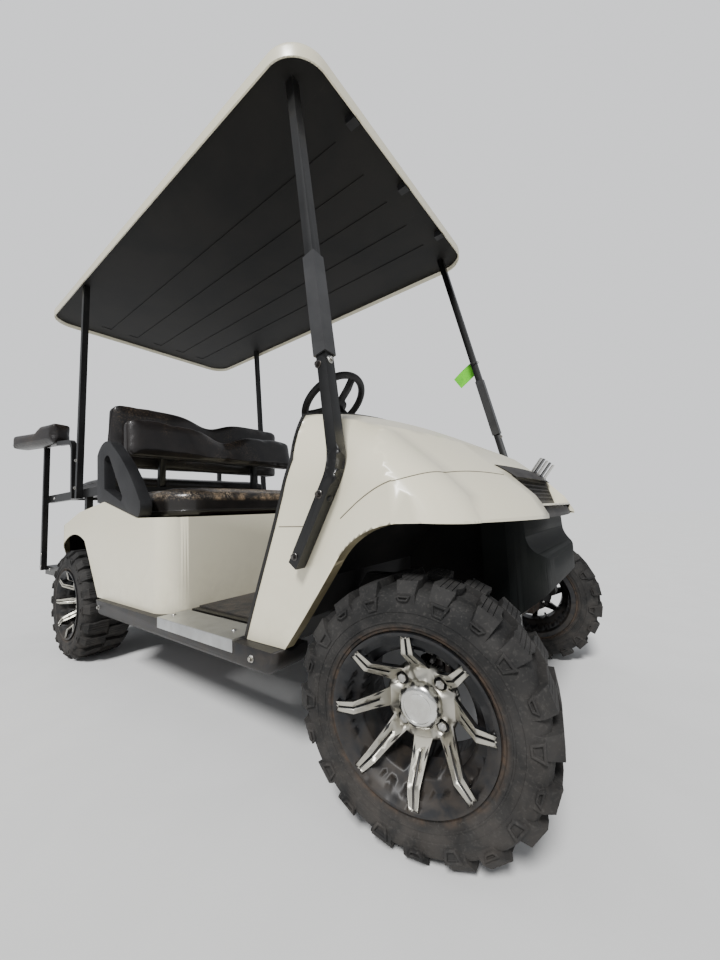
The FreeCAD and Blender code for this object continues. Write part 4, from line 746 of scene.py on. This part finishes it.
def tread_block(name, shoulder_radius, lean):
    """One lug: a block across half the tread, swept sideways, falling away over the shoulder."""
    lug = start_box(name, (0.2100, -LUG_HALF, 0.003), (TYRE_RADIUS, LUG_HALF, 0.034))
    edit(lug)
    # Each pull outwards: (inward, sideways, out, width)
    steps = ((-0.0004, lean, 0.022, 0.92), (-0.0006, -0.5 * lean, SHOULDER - 0.056, 1.05),
             (shoulder_radius - TYRE_RADIUS + 0.001, 0.3 * lean, 0.018, 0.80))
    front = 0.034
    for inward, sideways, out, width in steps:
        select_faces(lug, lambda centre, normal: centre.z > front - 0.002)
        extrude(inward, sideways, out)
        bpy.ops.transform.resize(value=(1, width, 1))
        front += out
    for at in SIPES:
        for edge in (-SIPE_WIDTH / 2, SIPE_WIDTH / 2):
            select_all()
            bpy.ops.mesh.bisect(plane_co=(0, at + edge, 0), plane_no=(0, 1, 0))
    select_faces(lug, lambda centre, normal: normal.x > 0.8 and centre.x > 0.2
                 and any(abs(centre.y - at) < SIPE_WIDTH / 2 for at in SIPES))
    extrude(-SIPE_DEPTH, 0, 0)
    face_outwards(lug)
    ease_edges(lug, 0.0012, 1, 50)
    return lug


def side_block(name, inner, outer, half, recess):
    """A raised shape on the sidewall: narrow end towards the rim, its face let in."""
    block = start_box(name, (inner, -half, 0.084), (outer, half, 0.0915))
    edit(block)
    select_faces(block, lambda centre, normal: normal.x < -0.9)
    bpy.ops.transform.resize(value=(1, 0.55, 1))
    select_faces(block, lambda centre, normal: normal.z > 0.9)
    extrude(0, 0, 0.0038)
    bpy.ops.transform.resize(value=(0.9, 0.9, 1))
    bpy.ops.mesh.inset(thickness=recess)
    extrude(0, 0, -0.0042)
    bpy.ops.transform.resize(value=(0.9, 0.9, 1))
    clear_selection()
    ease_edges(block, 0.0008, 1, 50)
    return block


def ringed(piece, count, first=0.0):
    """Copies of a piece all the way round the wheel's axis, in one mesh."""
    turn = Matrix.Rotation(first, 4, "Z")
    piece.matrix_world = turn
    apply_place(piece)
    edit(piece)
    select_all()
    bpy.ops.mesh.spin(steps=count - 1, dupli=True, angle=2 * math.pi * (count - 1) / count,
                      center=(0, 0, 0), axis=(0, 0, 1))
    clear_selection()
    return piece


def other_half(piece, name, turn):
    """The same pieces on the inner half of the tyre, turned on."""
    flip = Matrix.Rotation(turn, 4, "Z") @ Matrix.Diagonal((1, 1, -1, 1))
    copy = own_copy(piece, name, flip)
    face_outwards(copy)
    return copy


def make_tyre():
    rows = CARCASS + [(radius, -out) for radius, out in reversed(CARCASS)]
    carcass = turned("tyre", rows[:-1] + [rows[-1], rows[0]], steps=96, closed=True)
    long_lugs = ringed(tread_block("long_lugs", 0.203, 0.006), LUG_COUNT // 2)
    short_lugs = ringed(tread_block("short_lugs", 0.209, -0.006), LUG_COUNT // 2, LUG_PITCH)
    arrows = ringed(side_block("side_arrows", 0.182, 0.2045, 0.0165, 0.0035), LUG_COUNT // 2)
    bars = ringed(side_block("side_bars", 0.1955, 0.2055, 0.0145, 0.0025), LUG_COUNT // 2, LUG_PITCH)
    outer = [long_lugs, short_lugs, arrows, bars]
    inner = [other_half(piece, piece.name + "_inner", LUG_PITCH / 2) for piece in outer]
    tyre = joined("tyre", [carcass] + outer + inner)
    tyre.matrix_world = Matrix.Translation((0, 0, -TYRE_HALF))
    apply_place(tyre)
    set_reach(tyre)
    smooth(tyre, 32)
    return tyre


# The wheel's face: silver where a lathe and mill have cut through the black
HUB_FACE = -0.075
MACHINED_REACH = 0.1365
HUB_REACH = 0.072
NUT_CIRCLE = 0.0508
NUT_SEAT_RADIUS = 0.0126
NUT_SEATS = [Vector((NUT_CIRCLE, 0)) @ Matrix.Rotation(math.radians(45 + 90 * i), 2) for i in range(4)]
FACE_PROFILE = [(0.0585, HUB_FACE), (0.106, -0.009), (0.1392, -0.003)]


def face_height(radius):
    for (start, low_height), (end, high_height) in zip(FACE_PROFILE, FACE_PROFILE[1:]):
        if start <= radius <= end:
            return low_height + (high_height - low_height) * (radius - start) / (end - start)
    return None


def is_machined(centre, normal):
    radius = math.hypot(centre.x, centre.y)
    if radius < HUB_REACH and centre.z > HUB_FACE - 0.012:
        off_seat = min((centre.xy - seat).length for seat in NUT_SEATS)
        return off_seat > NUT_SEAT_RADIUS and normal.z > -0.2
    height = face_height(radius)
    if radius > MACHINED_REACH:
        return False
    return height is not None and normal.z > 0.35 and abs(centre.z - height) < 0.0022


def dress_wheel(node, place):
    wheel = cad_copy(node, node + "_face")
    paint(wheel, FINISHES["wheel_black"], MACHINED)
    back = place.inverted()
    set_reach(wheel, back)
    for face in wheel.data.polygons:
        if is_machined(back @ face.center, back.to_3x3() @ face.normal):
            face.material_index = 1
    smooth(wheel, 30)
    return settle(wheel, bodies[node], "wheel_black", node)


CAP_RADIUS = 0.040
CAP_SCALLOPS = 8


def make_cap():
    """Silver centre cap with a scalloped edge and a bare dished face."""
    cap = turned("hub_cap", [(0.036, -0.0745), (CAP_RADIUS, -0.0720), (CAP_RADIUS, -0.0600),
                             (0.0350, -0.0535), (0.0300, -0.0510)], steps=64)
    edit(cap)
    select_faces(cap, lambda centre, normal: normal.z > 0.9 and centre.z > -0.0515)
    bpy.ops.mesh.inset(thickness=0.003)
    extrude(0, 0, -0.0016)
    bpy.ops.mesh.inset(thickness=0.004)
    extrude(0, 0, 0.0008)
    clear_selection()
    for vertex in cap.data.vertices:
        radius = math.hypot(vertex.co.x, vertex.co.y)
        turn = math.atan2(vertex.co.y, vertex.co.x)
        if radius > 0.034:
            notch = max(0.0, math.cos(CAP_SCALLOPS * turn)) ** 3
            vertex.co.xy = vertex.co.xy * (1 - 0.045 * notch)
    smooth(cap, 40)
    return cap


def six_sided(name, radius, depth, place):
    clear_selection()
    bpy.ops.mesh.primitive_cylinder_add(vertices=6, radius=radius, depth=depth, location=place)
    piece = bpy.context.object
    piece.name = name
    apply_place(piece)
    return piece


def make_nut():
    """Wheel nut with a six-sided skirt and a domed top, on the bottom of its round seat."""
    nut = six_sided("wheel_nut", 0.0082, 0.014, (NUT_CIRCLE, 0, -0.0800))
    edit(nut)
    select_faces(nut, lambda centre, normal: normal.z > 0.9)
    for inward, out in ((0.0018, 0.0016), (0.0022, 0.0014), (0.0020, 0.0006)):
        bpy.ops.mesh.inset(thickness=inward)
        extrude(0, 0, out)
    clear_selection()
    ease_edges(nut, 0.0006, 2, 40)
    smooth(nut, 40)
    return nut


def make_valve():
    valve = turned("valve_stem", [(0.0055, -0.030), (0.0055, -0.024), (0.0036, -0.022),
                                  (0.0034, 0.002), (0.0042, 0.003), (0.0042, 0.012), (0.0030, 0.014)],
                   steps=20)
    lean = Matrix.Rotation(math.radians(-28), 4, "Y")
    valve.matrix_world = (Matrix.Rotation(math.radians(68), 4, "Z")
                          @ Matrix.Translation((0.108, 0, -0.036)) @ lean)
    apply_place(valve)
    smooth(valve, 35)
    return valve


def add_wheels():
    tyre, cap, nut, valve = make_tyre(), make_cap(), make_nut(), make_valve()
    for end, front in (("front", True), ("rear", False)):
        for side, word in SIDES:
            place = wheel_place(side, front)
            spot = end + "_" + word
            body = bodies["tyre_" + spot]
            settle(own_copy(tyre, "tread_" + spot, place), body, "tyre", "tyre_" + spot)
            dress_wheel("wheel_" + spot, place)
            settle(own_copy(cap, "hub_cap_" + spot, place), body, "wheel_black", material=CAP_CHROME)
            settle(own_copy(valve, "valve_" + spot, place), body, "tyre",
                   material=FINISHES["black_rubber"])
            for i in range(4):
                turn = Matrix.Rotation(math.radians(45 + 90 * i), 4, "Z")
                settle(own_copy(nut, "wheel_nut_%s_%d" % (spot, i), place @ turn), body,
                       "bare_steel", material=ZINC)
    drop(tyre, cap, nut, valve)


# Cushions and pads
SWELL_PRESSURE = 4
SWELL_MASS = 0.3
SWELL_FRAMES = 20
WELT_ROUNDNESS = 2
WELT_MERGE_GAP = 0.0004

def swell(piece, start, push, room):
    """Inflate a closed pad with cloth, then cap how far each point has moved."""
    only(piece)
    cloth = piece.modifiers.new("cloth", "CLOTH")
    cloth.settings.use_pressure = True
    cloth.settings.uniform_pressure_force = SWELL_PRESSURE
    cloth.settings.effector_weights.gravity = 0
    cloth.settings.mass = SWELL_MASS
    cloth.point_cache.frame_start = 1
    cloth.point_cache.frame_end = SWELL_FRAMES
    scene = bpy.context.scene
    for step in range(1, SWELL_FRAMES + 1):
        scene.frame_set(step)
    swollen = piece.evaluated_get(bpy.context.evaluated_depsgraph_get())
    moved = [vertex.co.copy() for vertex in swollen.to_mesh().vertices]
    swollen.to_mesh_clear()
    piece.modifiers.remove(cloth)
    scene.frame_set(1)
    corner, far_corner = room
    for vertex, before, after in zip(piece.data.vertices, start, moved):
        shift = after - before
        if shift.length > push:
            shift *= push / shift.length
        place = before + shift
        vertex.co = [min(max(place[i], corner[i]), far_corner[i]) for i in range(3)]


def pad(node, name, voxel, push, material, shape=None, proud=0.004, shrink=0.006, tall=0.0):
    """A stuffed form in a CAD solid's room: its mesh shaped, remeshed, swollen and smoothed."""
    piece = cad_copy(node, name)
    size = high(node) - low(node)
    centre = middle(node)
    edit(piece)
    select_all()
    share = [1 - 2 * shrink / part for part in size]
    share[2] += 2 * tall / size.z
    bpy.ops.transform.resize(value=share, center_override=centre)
    clear_selection()
    apply_modifier(piece, "REMESH", mode="VOXEL", voxel_size=voxel)
    if shape:
        for vertex in piece.data.vertices:
            vertex.co = shape(vertex.co)
    start = [vertex.co.copy() for vertex in piece.data.vertices]
    room = (low(node) - Vector((proud, proud, tall)), high(node) + Vector((proud, proud, proud + tall)))
    swell(piece, start, push, room)
    apply_modifier(piece, "SMOOTH", factor=0.5, iterations=4)
    apply_modifier(piece, "SUBSURF", levels=1, render_levels=1)
    only(piece)
    bpy.ops.object.shade_smooth()
    settle(piece, bodies[node], "black_vinyl", node, material=material)
    return piece


def welt(source, name, place, normal, body, radius=0.0028, material=None):
    """Piping sewn round a pad where a plane meets its skin."""
    ring = duplicated(source, name)
    ring.modifiers.clear()
    edit(ring)
    select_all()
    bpy.ops.mesh.bisect(plane_co=place, plane_no=normal, clear_inner=True, clear_outer=True)
    clear_selection()
    ring = converted(ring, "CURVE")
    ring.data.bevel_depth = radius
    ring.data.bevel_resolution = WELT_ROUNDNESS
    ring = converted(ring, "MESH")
    apply_modifier(ring, "WELD", merge_threshold=WELT_MERGE_GAP)
    only(ring)
    bpy.ops.object.shade_smooth()
    return settle(ring, body, "black_vinyl", material=material or SEAT_VINYL)


def crowned(node, rise):
    """Shape that lifts a cushion's middle and lets its top fall away to the edges."""
    corner, far_corner, centre = low(node), high(node), middle(node)
    half = (far_corner - corner) / 2

    def shape(point):
        across = (point.y - centre.y) / half.y
        along = (point.x - centre.x) / half.x
        up = max(0.0, (point.z - corner.z) / (far_corner.z - corner.z))
        fall = rise * up * (0.55 * abs(along) ** 3 + 0.45 * abs(across) ** 6)
        return Vector((point.x, point.y, point.z - fall))
    return shape


def lobed(node, waist, thin):
    """Shape of a back with two lobes: its top edge dips in the middle and rounds off at the ends."""
    corner, far_corner, centre = low(node), high(node), middle(node)
    half = (far_corner.y - corner.y) / 2
    tall = far_corner.z - corner.z

    def shape(point):
        across = abs(point.y - centre.y) / half
        up = (point.z - corner.z) / tall
        dip = waist * math.exp(-(across / 0.22) ** 2) + 0.026 * max(0.0, across - 0.62) ** 2 / 0.144
        drop_by = dip * max(0.0, up - 0.15) / 0.85
        flat = 1 - thin * math.exp(-(across / 0.16) ** 2)
        return Vector((centre.x + (point.x - centre.x) * flat, point.y, point.z - drop_by))
    return shape


def add_cushions():
    vinyl = FINISHES["black_vinyl"]
    seat = pad("seat_cushion", "front_seat_cushion", 0.010, 0.014, SEAT_VINYL,
               shape=crowned("seat_cushion", 0.020))
    base = low("seat_cushion").z
    welt(seat, "front_seat_welt_low", (0, 0, base + 0.022), (0, 0, 1), bodies["seat_cushion"])
    back = pad("seat_back", "front_seat_back", 0.009, 0.014, vinyl,
               shape=lobed("seat_back", 0.050, 0.30), tall=0.012)
    lean = Vector((1, 0, 0.16)).normalized()
    welt(back, "front_back_welt", middle("seat_back") + Vector((0.012, 0, 0)), lean, CHASSIS, material=vinyl)
    tall = pad("rear_back", "rear_facing_back", 0.010, 0.014, vinyl,
               shape=lobed("rear_back", 0.045, 0.20), tall=0.006)
    welt(tall, "rear_back_welt", middle("rear_back"), (1, 0, -0.2), CHASSIS, material=vinyl)
    flip = pad("rear_seat_cushion", "rear_seat_pad", 0.010, 0.010, vinyl,
               shape=crowned("rear_seat_cushion", 0.010))
    welt(flip, "rear_seat_welt", middle("rear_seat_cushion") + Vector((0, 0, 0.006)), (0, 0, 1),
         bodies["rear_seat_cushion"], material=vinyl)
    pads = pad("arm_pads", "rear_arm_pads", 0.006, 0.006, vinyl, shrink=0.002)
    welt(pads, "arm_pad_welt", (0, 0, low("arm_pads").z + 0.030), (0, 0, 1), CHASSIS, radius=0.002,
         material=vinyl)


# Body and trim

# Reach of the wheel arches' edge faces that take the painted shade
ARCH_EDGE_Y = 0.54
ARCH_REACH = 0.46
ARCH_EDGE_TOP = 0.62
NOSE_X = FRONT_X + 0.09
PANEL_LIFT = 0.0008


def panel_side(centre, normal, shell):
    """Which finish a body panel's face takes: 0 the outside, 1 the inside, painted black as painted shade, 2
    a wheel arch's edge, painted olive as painted shade.
    """
    if centre.x > NOSE_X and normal.x > 0.2:
        return 0
    axle = Vector((FRONT_X if centre.x > 0 else REAR_X, centre.y, TYRE_RADIUS))
    to_axle = axle - centre
    if abs(centre.y) > ARCH_EDGE_Y and to_axle.length < ARCH_REACH and centre.z < ARCH_EDGE_TOP:
        if normal.dot(to_axle.normalized()) > 0.30:
            return 2
    outward = Vector((0, 1 if centre.y > 0 else -1, 0))
    start = centre + PANEL_LIFT * normal
    covered = shell.ray_cast(start, Vector((0, 0, 1)))[0] is not None
    walled = shell.ray_cast(start, outward)[0] is not None
    return 1 if covered and walled else 0


def add_body_panels():
    for node in ("front_cowl", "rear_body"):
        panel = skin(node, 28)
        shell = surface_of(node)
        # Inner faces get the painted-shade black, arch edges the painted-shade olive
        for material in (PAINTED_SHADE_BLACK, ARCH_EDGE_SHADE):
            panel.data.materials.append(material)
        for face in panel.data.polygons:
            face.material_index = panel_side(face.center, face.normal, shell)


# Black sheets over the front wheels, put there as painted shade
LINER_PATH = [(FRONT_X - 0.160, 0.450), (FRONT_X - 0.120, 0.505), (FRONT_X - 0.060, 0.560),
              (FRONT_X - 0.010, 0.590), (FRONT_X + 0.058, 0.600)]
LINER_INNER = 0.214
LINER_OUTER = 0.574
LINER_WALL = 0.003
RAIL_TOP = 0.392


def add_arch_shade_liners():
    """Inner wings over the front wheels: a curved shelf, and a wall down to the frame rail, in black as
    painted shade that darkens the arches.
    """
    for side, word in SIDES:
        liner = pulled_sheet("arch_shade_liner_" + word, LINER_PATH, side * LINER_INNER, side * LINER_OUTER)
        edit(liner, "EDGE")
        select_edges(liner, lambda point: abs(point.y - side * LINER_INNER) < 0.0001)
        extrude(0, 0, -0.01)
        bpy.ops.transform.resize(value=(1, 1, 0), center_override=(0, 0, RAIL_TOP))
        merge_points(liner)
        face_outwards(liner)
        apply_modifier(liner, "SOLIDIFY", thickness=LINER_WALL, offset=0)
        smooth(liner, 40)
        settle(liner, CHASSIS, "dark_plastic", material=PAINTED_SHADE_BLACK)


# Hood seam, and the side panel's step drawn as a line of painted shade: (x, y, z), right side
HOOD_SEAM = [(FRONT_X + 0.120, -0.250, 0.649), (FRONT_X + 0.102, -0.334, 0.652),
             (FRONT_X + 0.084, -0.427, 0.650), (FRONT_X + 0.070, -0.530, 0.642),
             (FRONT_X + 0.039, -0.583, 0.630), (FRONT_X - 0.001, -0.591, 0.619),
             (FRONT_X - 0.037, -0.591, 0.601), (FRONT_X - 0.068, -0.589, 0.582),
             (FRONT_X - 0.095, -0.586, 0.564)]
PANEL_STEP_SHADE = [(FRONT_X - 0.283, -0.572, 0.549), (FRONT_X - 0.240, -0.574, 0.549),
              (FRONT_X - 0.198, -0.575, 0.549)]
SEAM_RADIUS = 0.0010
SEAM_SEARCH = 0.012
SEAM_STEPS = 8
COWL_HEART = Vector((FRONT_X - 0.10, 0, 0.40))


def seam_line(name, points, skin_of):
    """A thin dark line that lies on a panel: a joint, or painted shade along a step."""
    curve = bpy.data.curves.new(name, "CURVE")
    curve.dimensions = "3D"
    spline = curve.splines.new("NURBS")
    spline.points.add(len(points) - 1)
    for point, place in zip(spline.points, points):
        point.co = (*place, 1)
    spline.order_u = 3
    spline.use_endpoint_u = True
    spline.resolution_u = SEAM_STEPS
    line = bpy.data.objects.new(name, curve)
    bpy.context.collection.objects.link(line)
    line = converted(line, "MESH")
    for vertex in line.data.vertices:
        outward = (vertex.co - COWL_HEART).normalized()
        vertex.co = skin_of.find_nearest(vertex.co + SEAM_SEARCH * outward)[0]
    line = converted(line, "CURVE")
    line.data.bevel_depth = SEAM_RADIUS
    line.data.bevel_resolution = 1
    line.data.use_fill_caps = True
    line = converted(line, "MESH")
    smooth(line, 60)
    return settle(line, CHASSIS, "body_cream", material=SEAM_DARK_AND_STEP_SHADE)


def add_seams():
    cowl = surface_of("front_cowl")
    for side, word in SIDES:
        for name, points in (("hood_seam_", HOOD_SEAM), ("panel_step_shade_", PANEL_STEP_SHADE)):
            seam_line(name + word, [(x, -side * y, z) for x, y, z in points], cowl)


FIN_COUNT = 5
FIN_GAP = 0.0078
FIN_THICK = 0.0040
FIN_SIDES = (0.104, 0.134)
FIN_FIRST_X = FRONT_X + 0.102
FIN_LEAN = (0.028, 0, 0.038)


def add_hood_fins():
    """A short stack of leaning fins on the hood, zinc fins with every other one black as painted shade
    between them.
    """
    hood = surface_of("front_cowl", "nose_panels")
    near, far = FIN_SIDES
    for i in range(FIN_COUNT):
        x = FIN_FIRST_X + FIN_GAP * i
        foot = hood.ray_cast(Vector((x, (near + far) / 2, 1.0)), Vector((0, 0, -1)))[0]
        fin = start_box("hood_fin_%d" % i, (x - FIN_THICK / 2, near, foot.z - 0.005),
                        (x + FIN_THICK / 2, far, foot.z + 0.004))
        edit(fin)
        select_faces(fin, lambda centre, normal: normal.z > 0.9)
        extrude(*FIN_LEAN)
        bpy.ops.transform.resize(value=(0.8, 0.85, 1))
        clear_selection()
        ease_edges(fin, 0.0006, 2, 40)
        # Every other fin black: painted shade between the lit fins
        settle(fin, CHASSIS, "aluminium", material=ZINC if i % 2 == 0 else FINISHES["black_paint"])


def make_bolt(name, head, washer):
    """Six-sided head on a thin washer, with its seat at Z = 0."""
    ring = turned(name + "_washer", [(washer, -0.001), (washer, 0.0008), (washer - 0.0006, 0.0014)],
                  steps=24)
    top = six_sided(name + "_head", head, 0.005, (0, 0, 0.0034))
    edit(top)
    select_faces(top, lambda centre, normal: normal.z > 0.9)
    bpy.ops.mesh.inset(thickness=0.2 * head)
    extrude(0, 0, 0.0009)
    clear_selection()
    bolt = joined(name, [ring, top])
    smooth(bolt, 30)
    return bolt


def make_dome(name, radius):
    """Round-headed coach bolt with its seat at Z = 0."""
    dome = turned(name, [(radius, -0.001), (radius, 0.0006), (0.86 * radius, 0.0022),
                         (0.55 * radius, 0.0034), (0.2 * radius, 0.0038)], steps=24)
    smooth(dome, 60)
    return dome


STEP_LIP = (0.0022, 0.030)


def add_step_lips():
    """The step plates' outer edge, folded down over the rocker."""
    corner, far_corner = low("step_plates"), high("step_plates")
    edge = high("rocker_panels").y
    thick, drop_by = STEP_LIP
    for side, word in SIDES:
        lip = start_box("step_lip_" + word, (corner.x, side * (edge - 0.002), far_corner.z - drop_by),
                        (far_corner.x, side * (edge + thick), far_corner.z))
        edit(lip, "EDGE")
        select_edges(lip, lambda point: point.z > far_corner.z - 0.001 and abs(point.y) > edge)
        bpy.ops.mesh.bevel(offset=0.0015, segments=3)
        face_outwards(lip)
        smooth(lip, 40)
        settle(lip, CHASSIS, "aluminium")


# Bolts seen from the side: (carrying node, x, z, kind, finish)
SIDE_BOLTS = [
    ("front_struts", FRONT_X - 0.125, 0.615, "hex", "dark"),
    ("front_struts", FRONT_X - 0.205, 0.493, "hex", "dark"),
    ("front_struts", FRONT_X - 0.136, 0.880, "hex", "dark"),
    ("rear_struts", REAR_X - 0.116, 0.741, "hex", "zinc"),
    ("rear_struts", REAR_X - 0.119, 0.872, "hex", "zinc"),
    ("rear_seat_frame", REAR_X - 0.248, 0.714, "dome", "zinc"),
    ("rear_seat_frame", REAR_X - 0.205, 0.714, "dome", "zinc"),
    ("rear_seat_frame", REAR_X - 0.549, 0.714, "dome", "zinc"),
    ("rear_seat_frame", REAR_X - 0.672, 0.714, "dome", "zinc"),
    ("arm_posts", REAR_X - 0.655, 0.412, "dome", "zinc"),
    ("arm_posts", REAR_X - 0.660, 0.345, "dome", "zinc"),
    ("foot_platform", REAR_X - 0.600, 0.330, "dome", "zinc"),
    ("rocker_panels", FRONT_X - 0.356, 0.262, "hex", "zinc"),
    ("rocker_panels", FRONT_X - 1.270, 0.262, "hex", "zinc"),
]
# Bolts seen from above on the right: (carrying node, x, distance from the middle, kind, finish)
TOP_BOLTS = [
    ("step_plates", FRONT_X - 0.780, 0.563, "dome", "zinc"),
    ("step_plates", FRONT_X - 0.485, 0.556, "dome", "zinc"),
    ("foot_platform", REAR_X - 0.330, 0.470, "dome", "zinc"),
    ("foot_platform", REAR_X - 0.640, 0.470, "dome", "zinc"),
]


# Cross bolts through the front struts: (height, facing, kind, finish)
FORWARD, BACKWARD = 1, -1
STRUT_BOLTS = [
    (0.888, FORWARD, "hex", "zinc"),
    (0.606, FORWARD, "dome", "black"),
    (0.620, BACKWARD, "hex", "dark"),
    (0.496, BACKWARD, "hex", "dark"),
]


def along_strut(height, side):
    """Middle of a front strut at a height."""
    start, end = (STRUT_FOOT, STRUT_BEND) if height < STRUT_BEND.z else (STRUT_BEND, STRUT_HEAD)
    place = start.lerp(end, (height - start.z) / (end.z - start.z))
    return Vector((place.x, side * place.y, place.z))


def add_bolts():
    kinds = {"hex": make_bolt("hex_bolt", 0.0058, 0.0085), "dome": make_dome("coach_bolt", 0.0072)}
    paints = {"zinc": ZINC, "black": FINISHES["black_paint"], "dark": DARK_STEEL}
    wanted = []
    for side in (RIGHT, LEFT):
        wanted += [(node, Vector((x, side * 0.9, z)), Vector((0, -side, 0)), kind, paint_name)
                   for node, x, z, kind, paint_name in SIDE_BOLTS]
        wanted += [(node, Vector((x, side * off, 1.0)), Vector((0, 0, -1)), kind, paint_name)
                   for node, x, off, kind, paint_name in TOP_BOLTS]
        wanted += [("front_struts", along_strut(height, side) + Vector((0.1 * facing, 0, 0)),
                    Vector((-facing, 0, 0)), kind, paint_name)
                   for height, facing, kind, paint_name in STRUT_BOLTS]
    for i, (node, start, towards, kind, paint_name) in enumerate(wanted):
        hit, normal = surface_of(node).ray_cast(start, towards)[:2]
        place = Matrix.Translation(hit) @ upright(normal)
        settle(own_copy(kinds[kind], "bolt_%d_%s" % (i, node), place), bodies[node], "bare_steel",
               material=paints[paint_name])
    drop(*kinds.values())


TAG_PLACE = Vector((FRONT_X - 0.2475, 0.5585, 1.2035))
TAG_SIZE = (0.112, 0.0010, 0.064)
TAG_LEAN = math.radians(-34)
TAG_TIE_Z = 1.238


def add_hang_tag():
    """A blank bright tag, tied round the far front strut."""
    length, thick, wide = TAG_SIZE
    tag = start_box("hang_tag", (-length / 2, -thick / 2, -wide / 2), (length / 2, thick / 2, wide / 2))
    edit(tag, "EDGE")
    select_edges(tag, lambda point: point.x > 0 and point.z > 0)
    bpy.ops.mesh.bevel(offset=0.012, segments=1)
    select_edges(tag, lambda point: point.x > length / 2 - 0.001 and point.z < -wide / 2 + 0.001)
    bpy.ops.mesh.bevel(offset=0.012, segments=1)
    clear_selection()
    edit(tag)
    select_all()
    bpy.ops.mesh.subdivide(number_cuts=6)
    clear_selection()
    for vertex in tag.data.vertices:
        vertex.co.y += 0.005 * (vertex.co.x / length) ** 2 * 4 * (0.5 + vertex.co.z / wide)
    tag.matrix_world = Matrix.Translation(TAG_PLACE) @ Matrix.Rotation(TAG_LEAN, 4, "Y")
    apply_place(tag)
    smooth(tag, 30)
    settle(tag, CHASSIS, "aluminium", material=TAG_GREEN)
    clear_selection()
    run = along_strut(1.3, LEFT) - along_strut(1.2, LEFT)
    bpy.ops.mesh.primitive_torus_add(major_radius=0.0200, minor_radius=0.0012, major_segments=40,
                                     minor_segments=8)
    tie = bpy.context.object
    tie.name = "tag_tie"
    edit(tie, "VERT")
    select_all()
    bpy.ops.transform.resize(value=(1, 1, 1.6))
    clear_selection()
    tie.matrix_world = Matrix.Translation(along_strut(TAG_TIE_Z, LEFT)) @ upright(run)
    apply_place(tie)
    smooth(tie, 50)
    settle(tie, CHASSIS, "black_rubber")


FRAME_TOP = 0.985
WHEEL_COVER = 0.0035
SMOOTHED_NODES = ("rocker_panels", "front_struts", "arm_posts", "dash_panel", "leaf_springs", "rear_axle",
                  "front_axle", "steering_column", "knuckle_right", "knuckle_left", "tie_rod",
                  "drive_motor", "cowl_trim")


def add_skins():
    skin("roof", 28)
    frame_piece = cad_copy("seat_back_frame", "seat_back_frame_cut")
    edit(frame_piece)
    select_all()
    bpy.ops.mesh.bisect(plane_co=(0, 0, FRAME_TOP), plane_no=(0, 0, 1), use_fill=True, clear_outer=True)
    clear_selection()
    smooth(frame_piece, 32)
    settle(frame_piece, bodies["seat_back_frame"], slots["seat_back_frame"], "seat_back_frame")
    loops = cad_copy("hip_restraints", "hip_restraint_loops")
    ease_edges(loops, 0.011, 4, 40)
    smooth(loops, 50)
    settle(loops, bodies["hip_restraints"], slots["hip_restraints"], "hip_restraints")
    rim = cad_copy("steering_wheel", "steering_wheel_grip")
    apply_modifier(rim, "DISPLACE", strength=WHEEL_COVER, mid_level=0.0)
    smooth(rim, 40)
    settle(rim, bodies["steering_wheel"], slots["steering_wheel"], "steering_wheel")
    skin("front_apron", 32, material=APRON_BLACK_AND_SHADE)
    for node in SMOOTHED_NODES:
        skin(node, 32)


def add_plain_finishes():
    for name, node in nodes.items():
        paint(node, FINISHES[slots[name]])
    nodes["floor_mat"].data.materials[0] = FLOOR_RUBBER
    nodes["nose_panels"].data.materials[0] = GRILLE_SATIN


SKY_SEEN = ((0.93, 0.94, 0.96, 1), 1.15)
SKY_LIGHT = ((0.86, 0.88, 0.92, 1), 0.56)
SUN_TURN = [math.radians(degrees) for degrees in (38, -12, 35)]
SUN_STRENGTH = 4.2
SUN_SPREAD = math.radians(14)
FLOOR_SIZE = 40


def add_studio():
    clear_selection()
    bpy.ops.mesh.primitive_plane_add(size=FLOOR_SIZE, location=(0, 0, 0))
    floor = bpy.context.object
    floor.name = "studio_floor"
    paint(floor, finish("studio_floor", (0.72, 0.72, 0.71), (0.74, 0.74, 0.73), 0.9))
    world = bpy.context.scene.world or bpy.data.worlds.new("studio")
    bpy.context.scene.world = world
    world.use_nodes = True
    tree = world.node_tree
    seen = tree.nodes["Background"]
    lighting = tree.nodes.new("ShaderNodeBackground")
    for node, (color, strength) in ((seen, SKY_SEEN), (lighting, SKY_LIGHT)):
        node.inputs["Color"].default_value = color
        node.inputs["Strength"].default_value = strength
    choose = tree.nodes.new("ShaderNodeMixShader")
    tree.links.new(tree.nodes.new("ShaderNodeLightPath").outputs["Is Camera Ray"],
                   choose.inputs["Fac"])
    tree.links.new(lighting.outputs["Background"], choose.inputs[1])
    tree.links.new(seen.outputs["Background"], choose.inputs[2])
    tree.links.new(choose.outputs["Shader"], tree.nodes["World Output"].inputs["Surface"])
    bpy.ops.object.light_add(type="SUN", rotation=SUN_TURN)
    sun = bpy.context.object
    sun.data.energy = SUN_STRENGTH
    sun.data.angle = SUN_SPREAD


add_camera()
add_plain_finishes()
add_wheels()
add_skins()
add_body_panels()
add_arch_shade_liners()
add_seams()
add_hood_fins()
add_step_lips()
add_bolts()
add_hang_tag()
add_cushions()
add_studio()
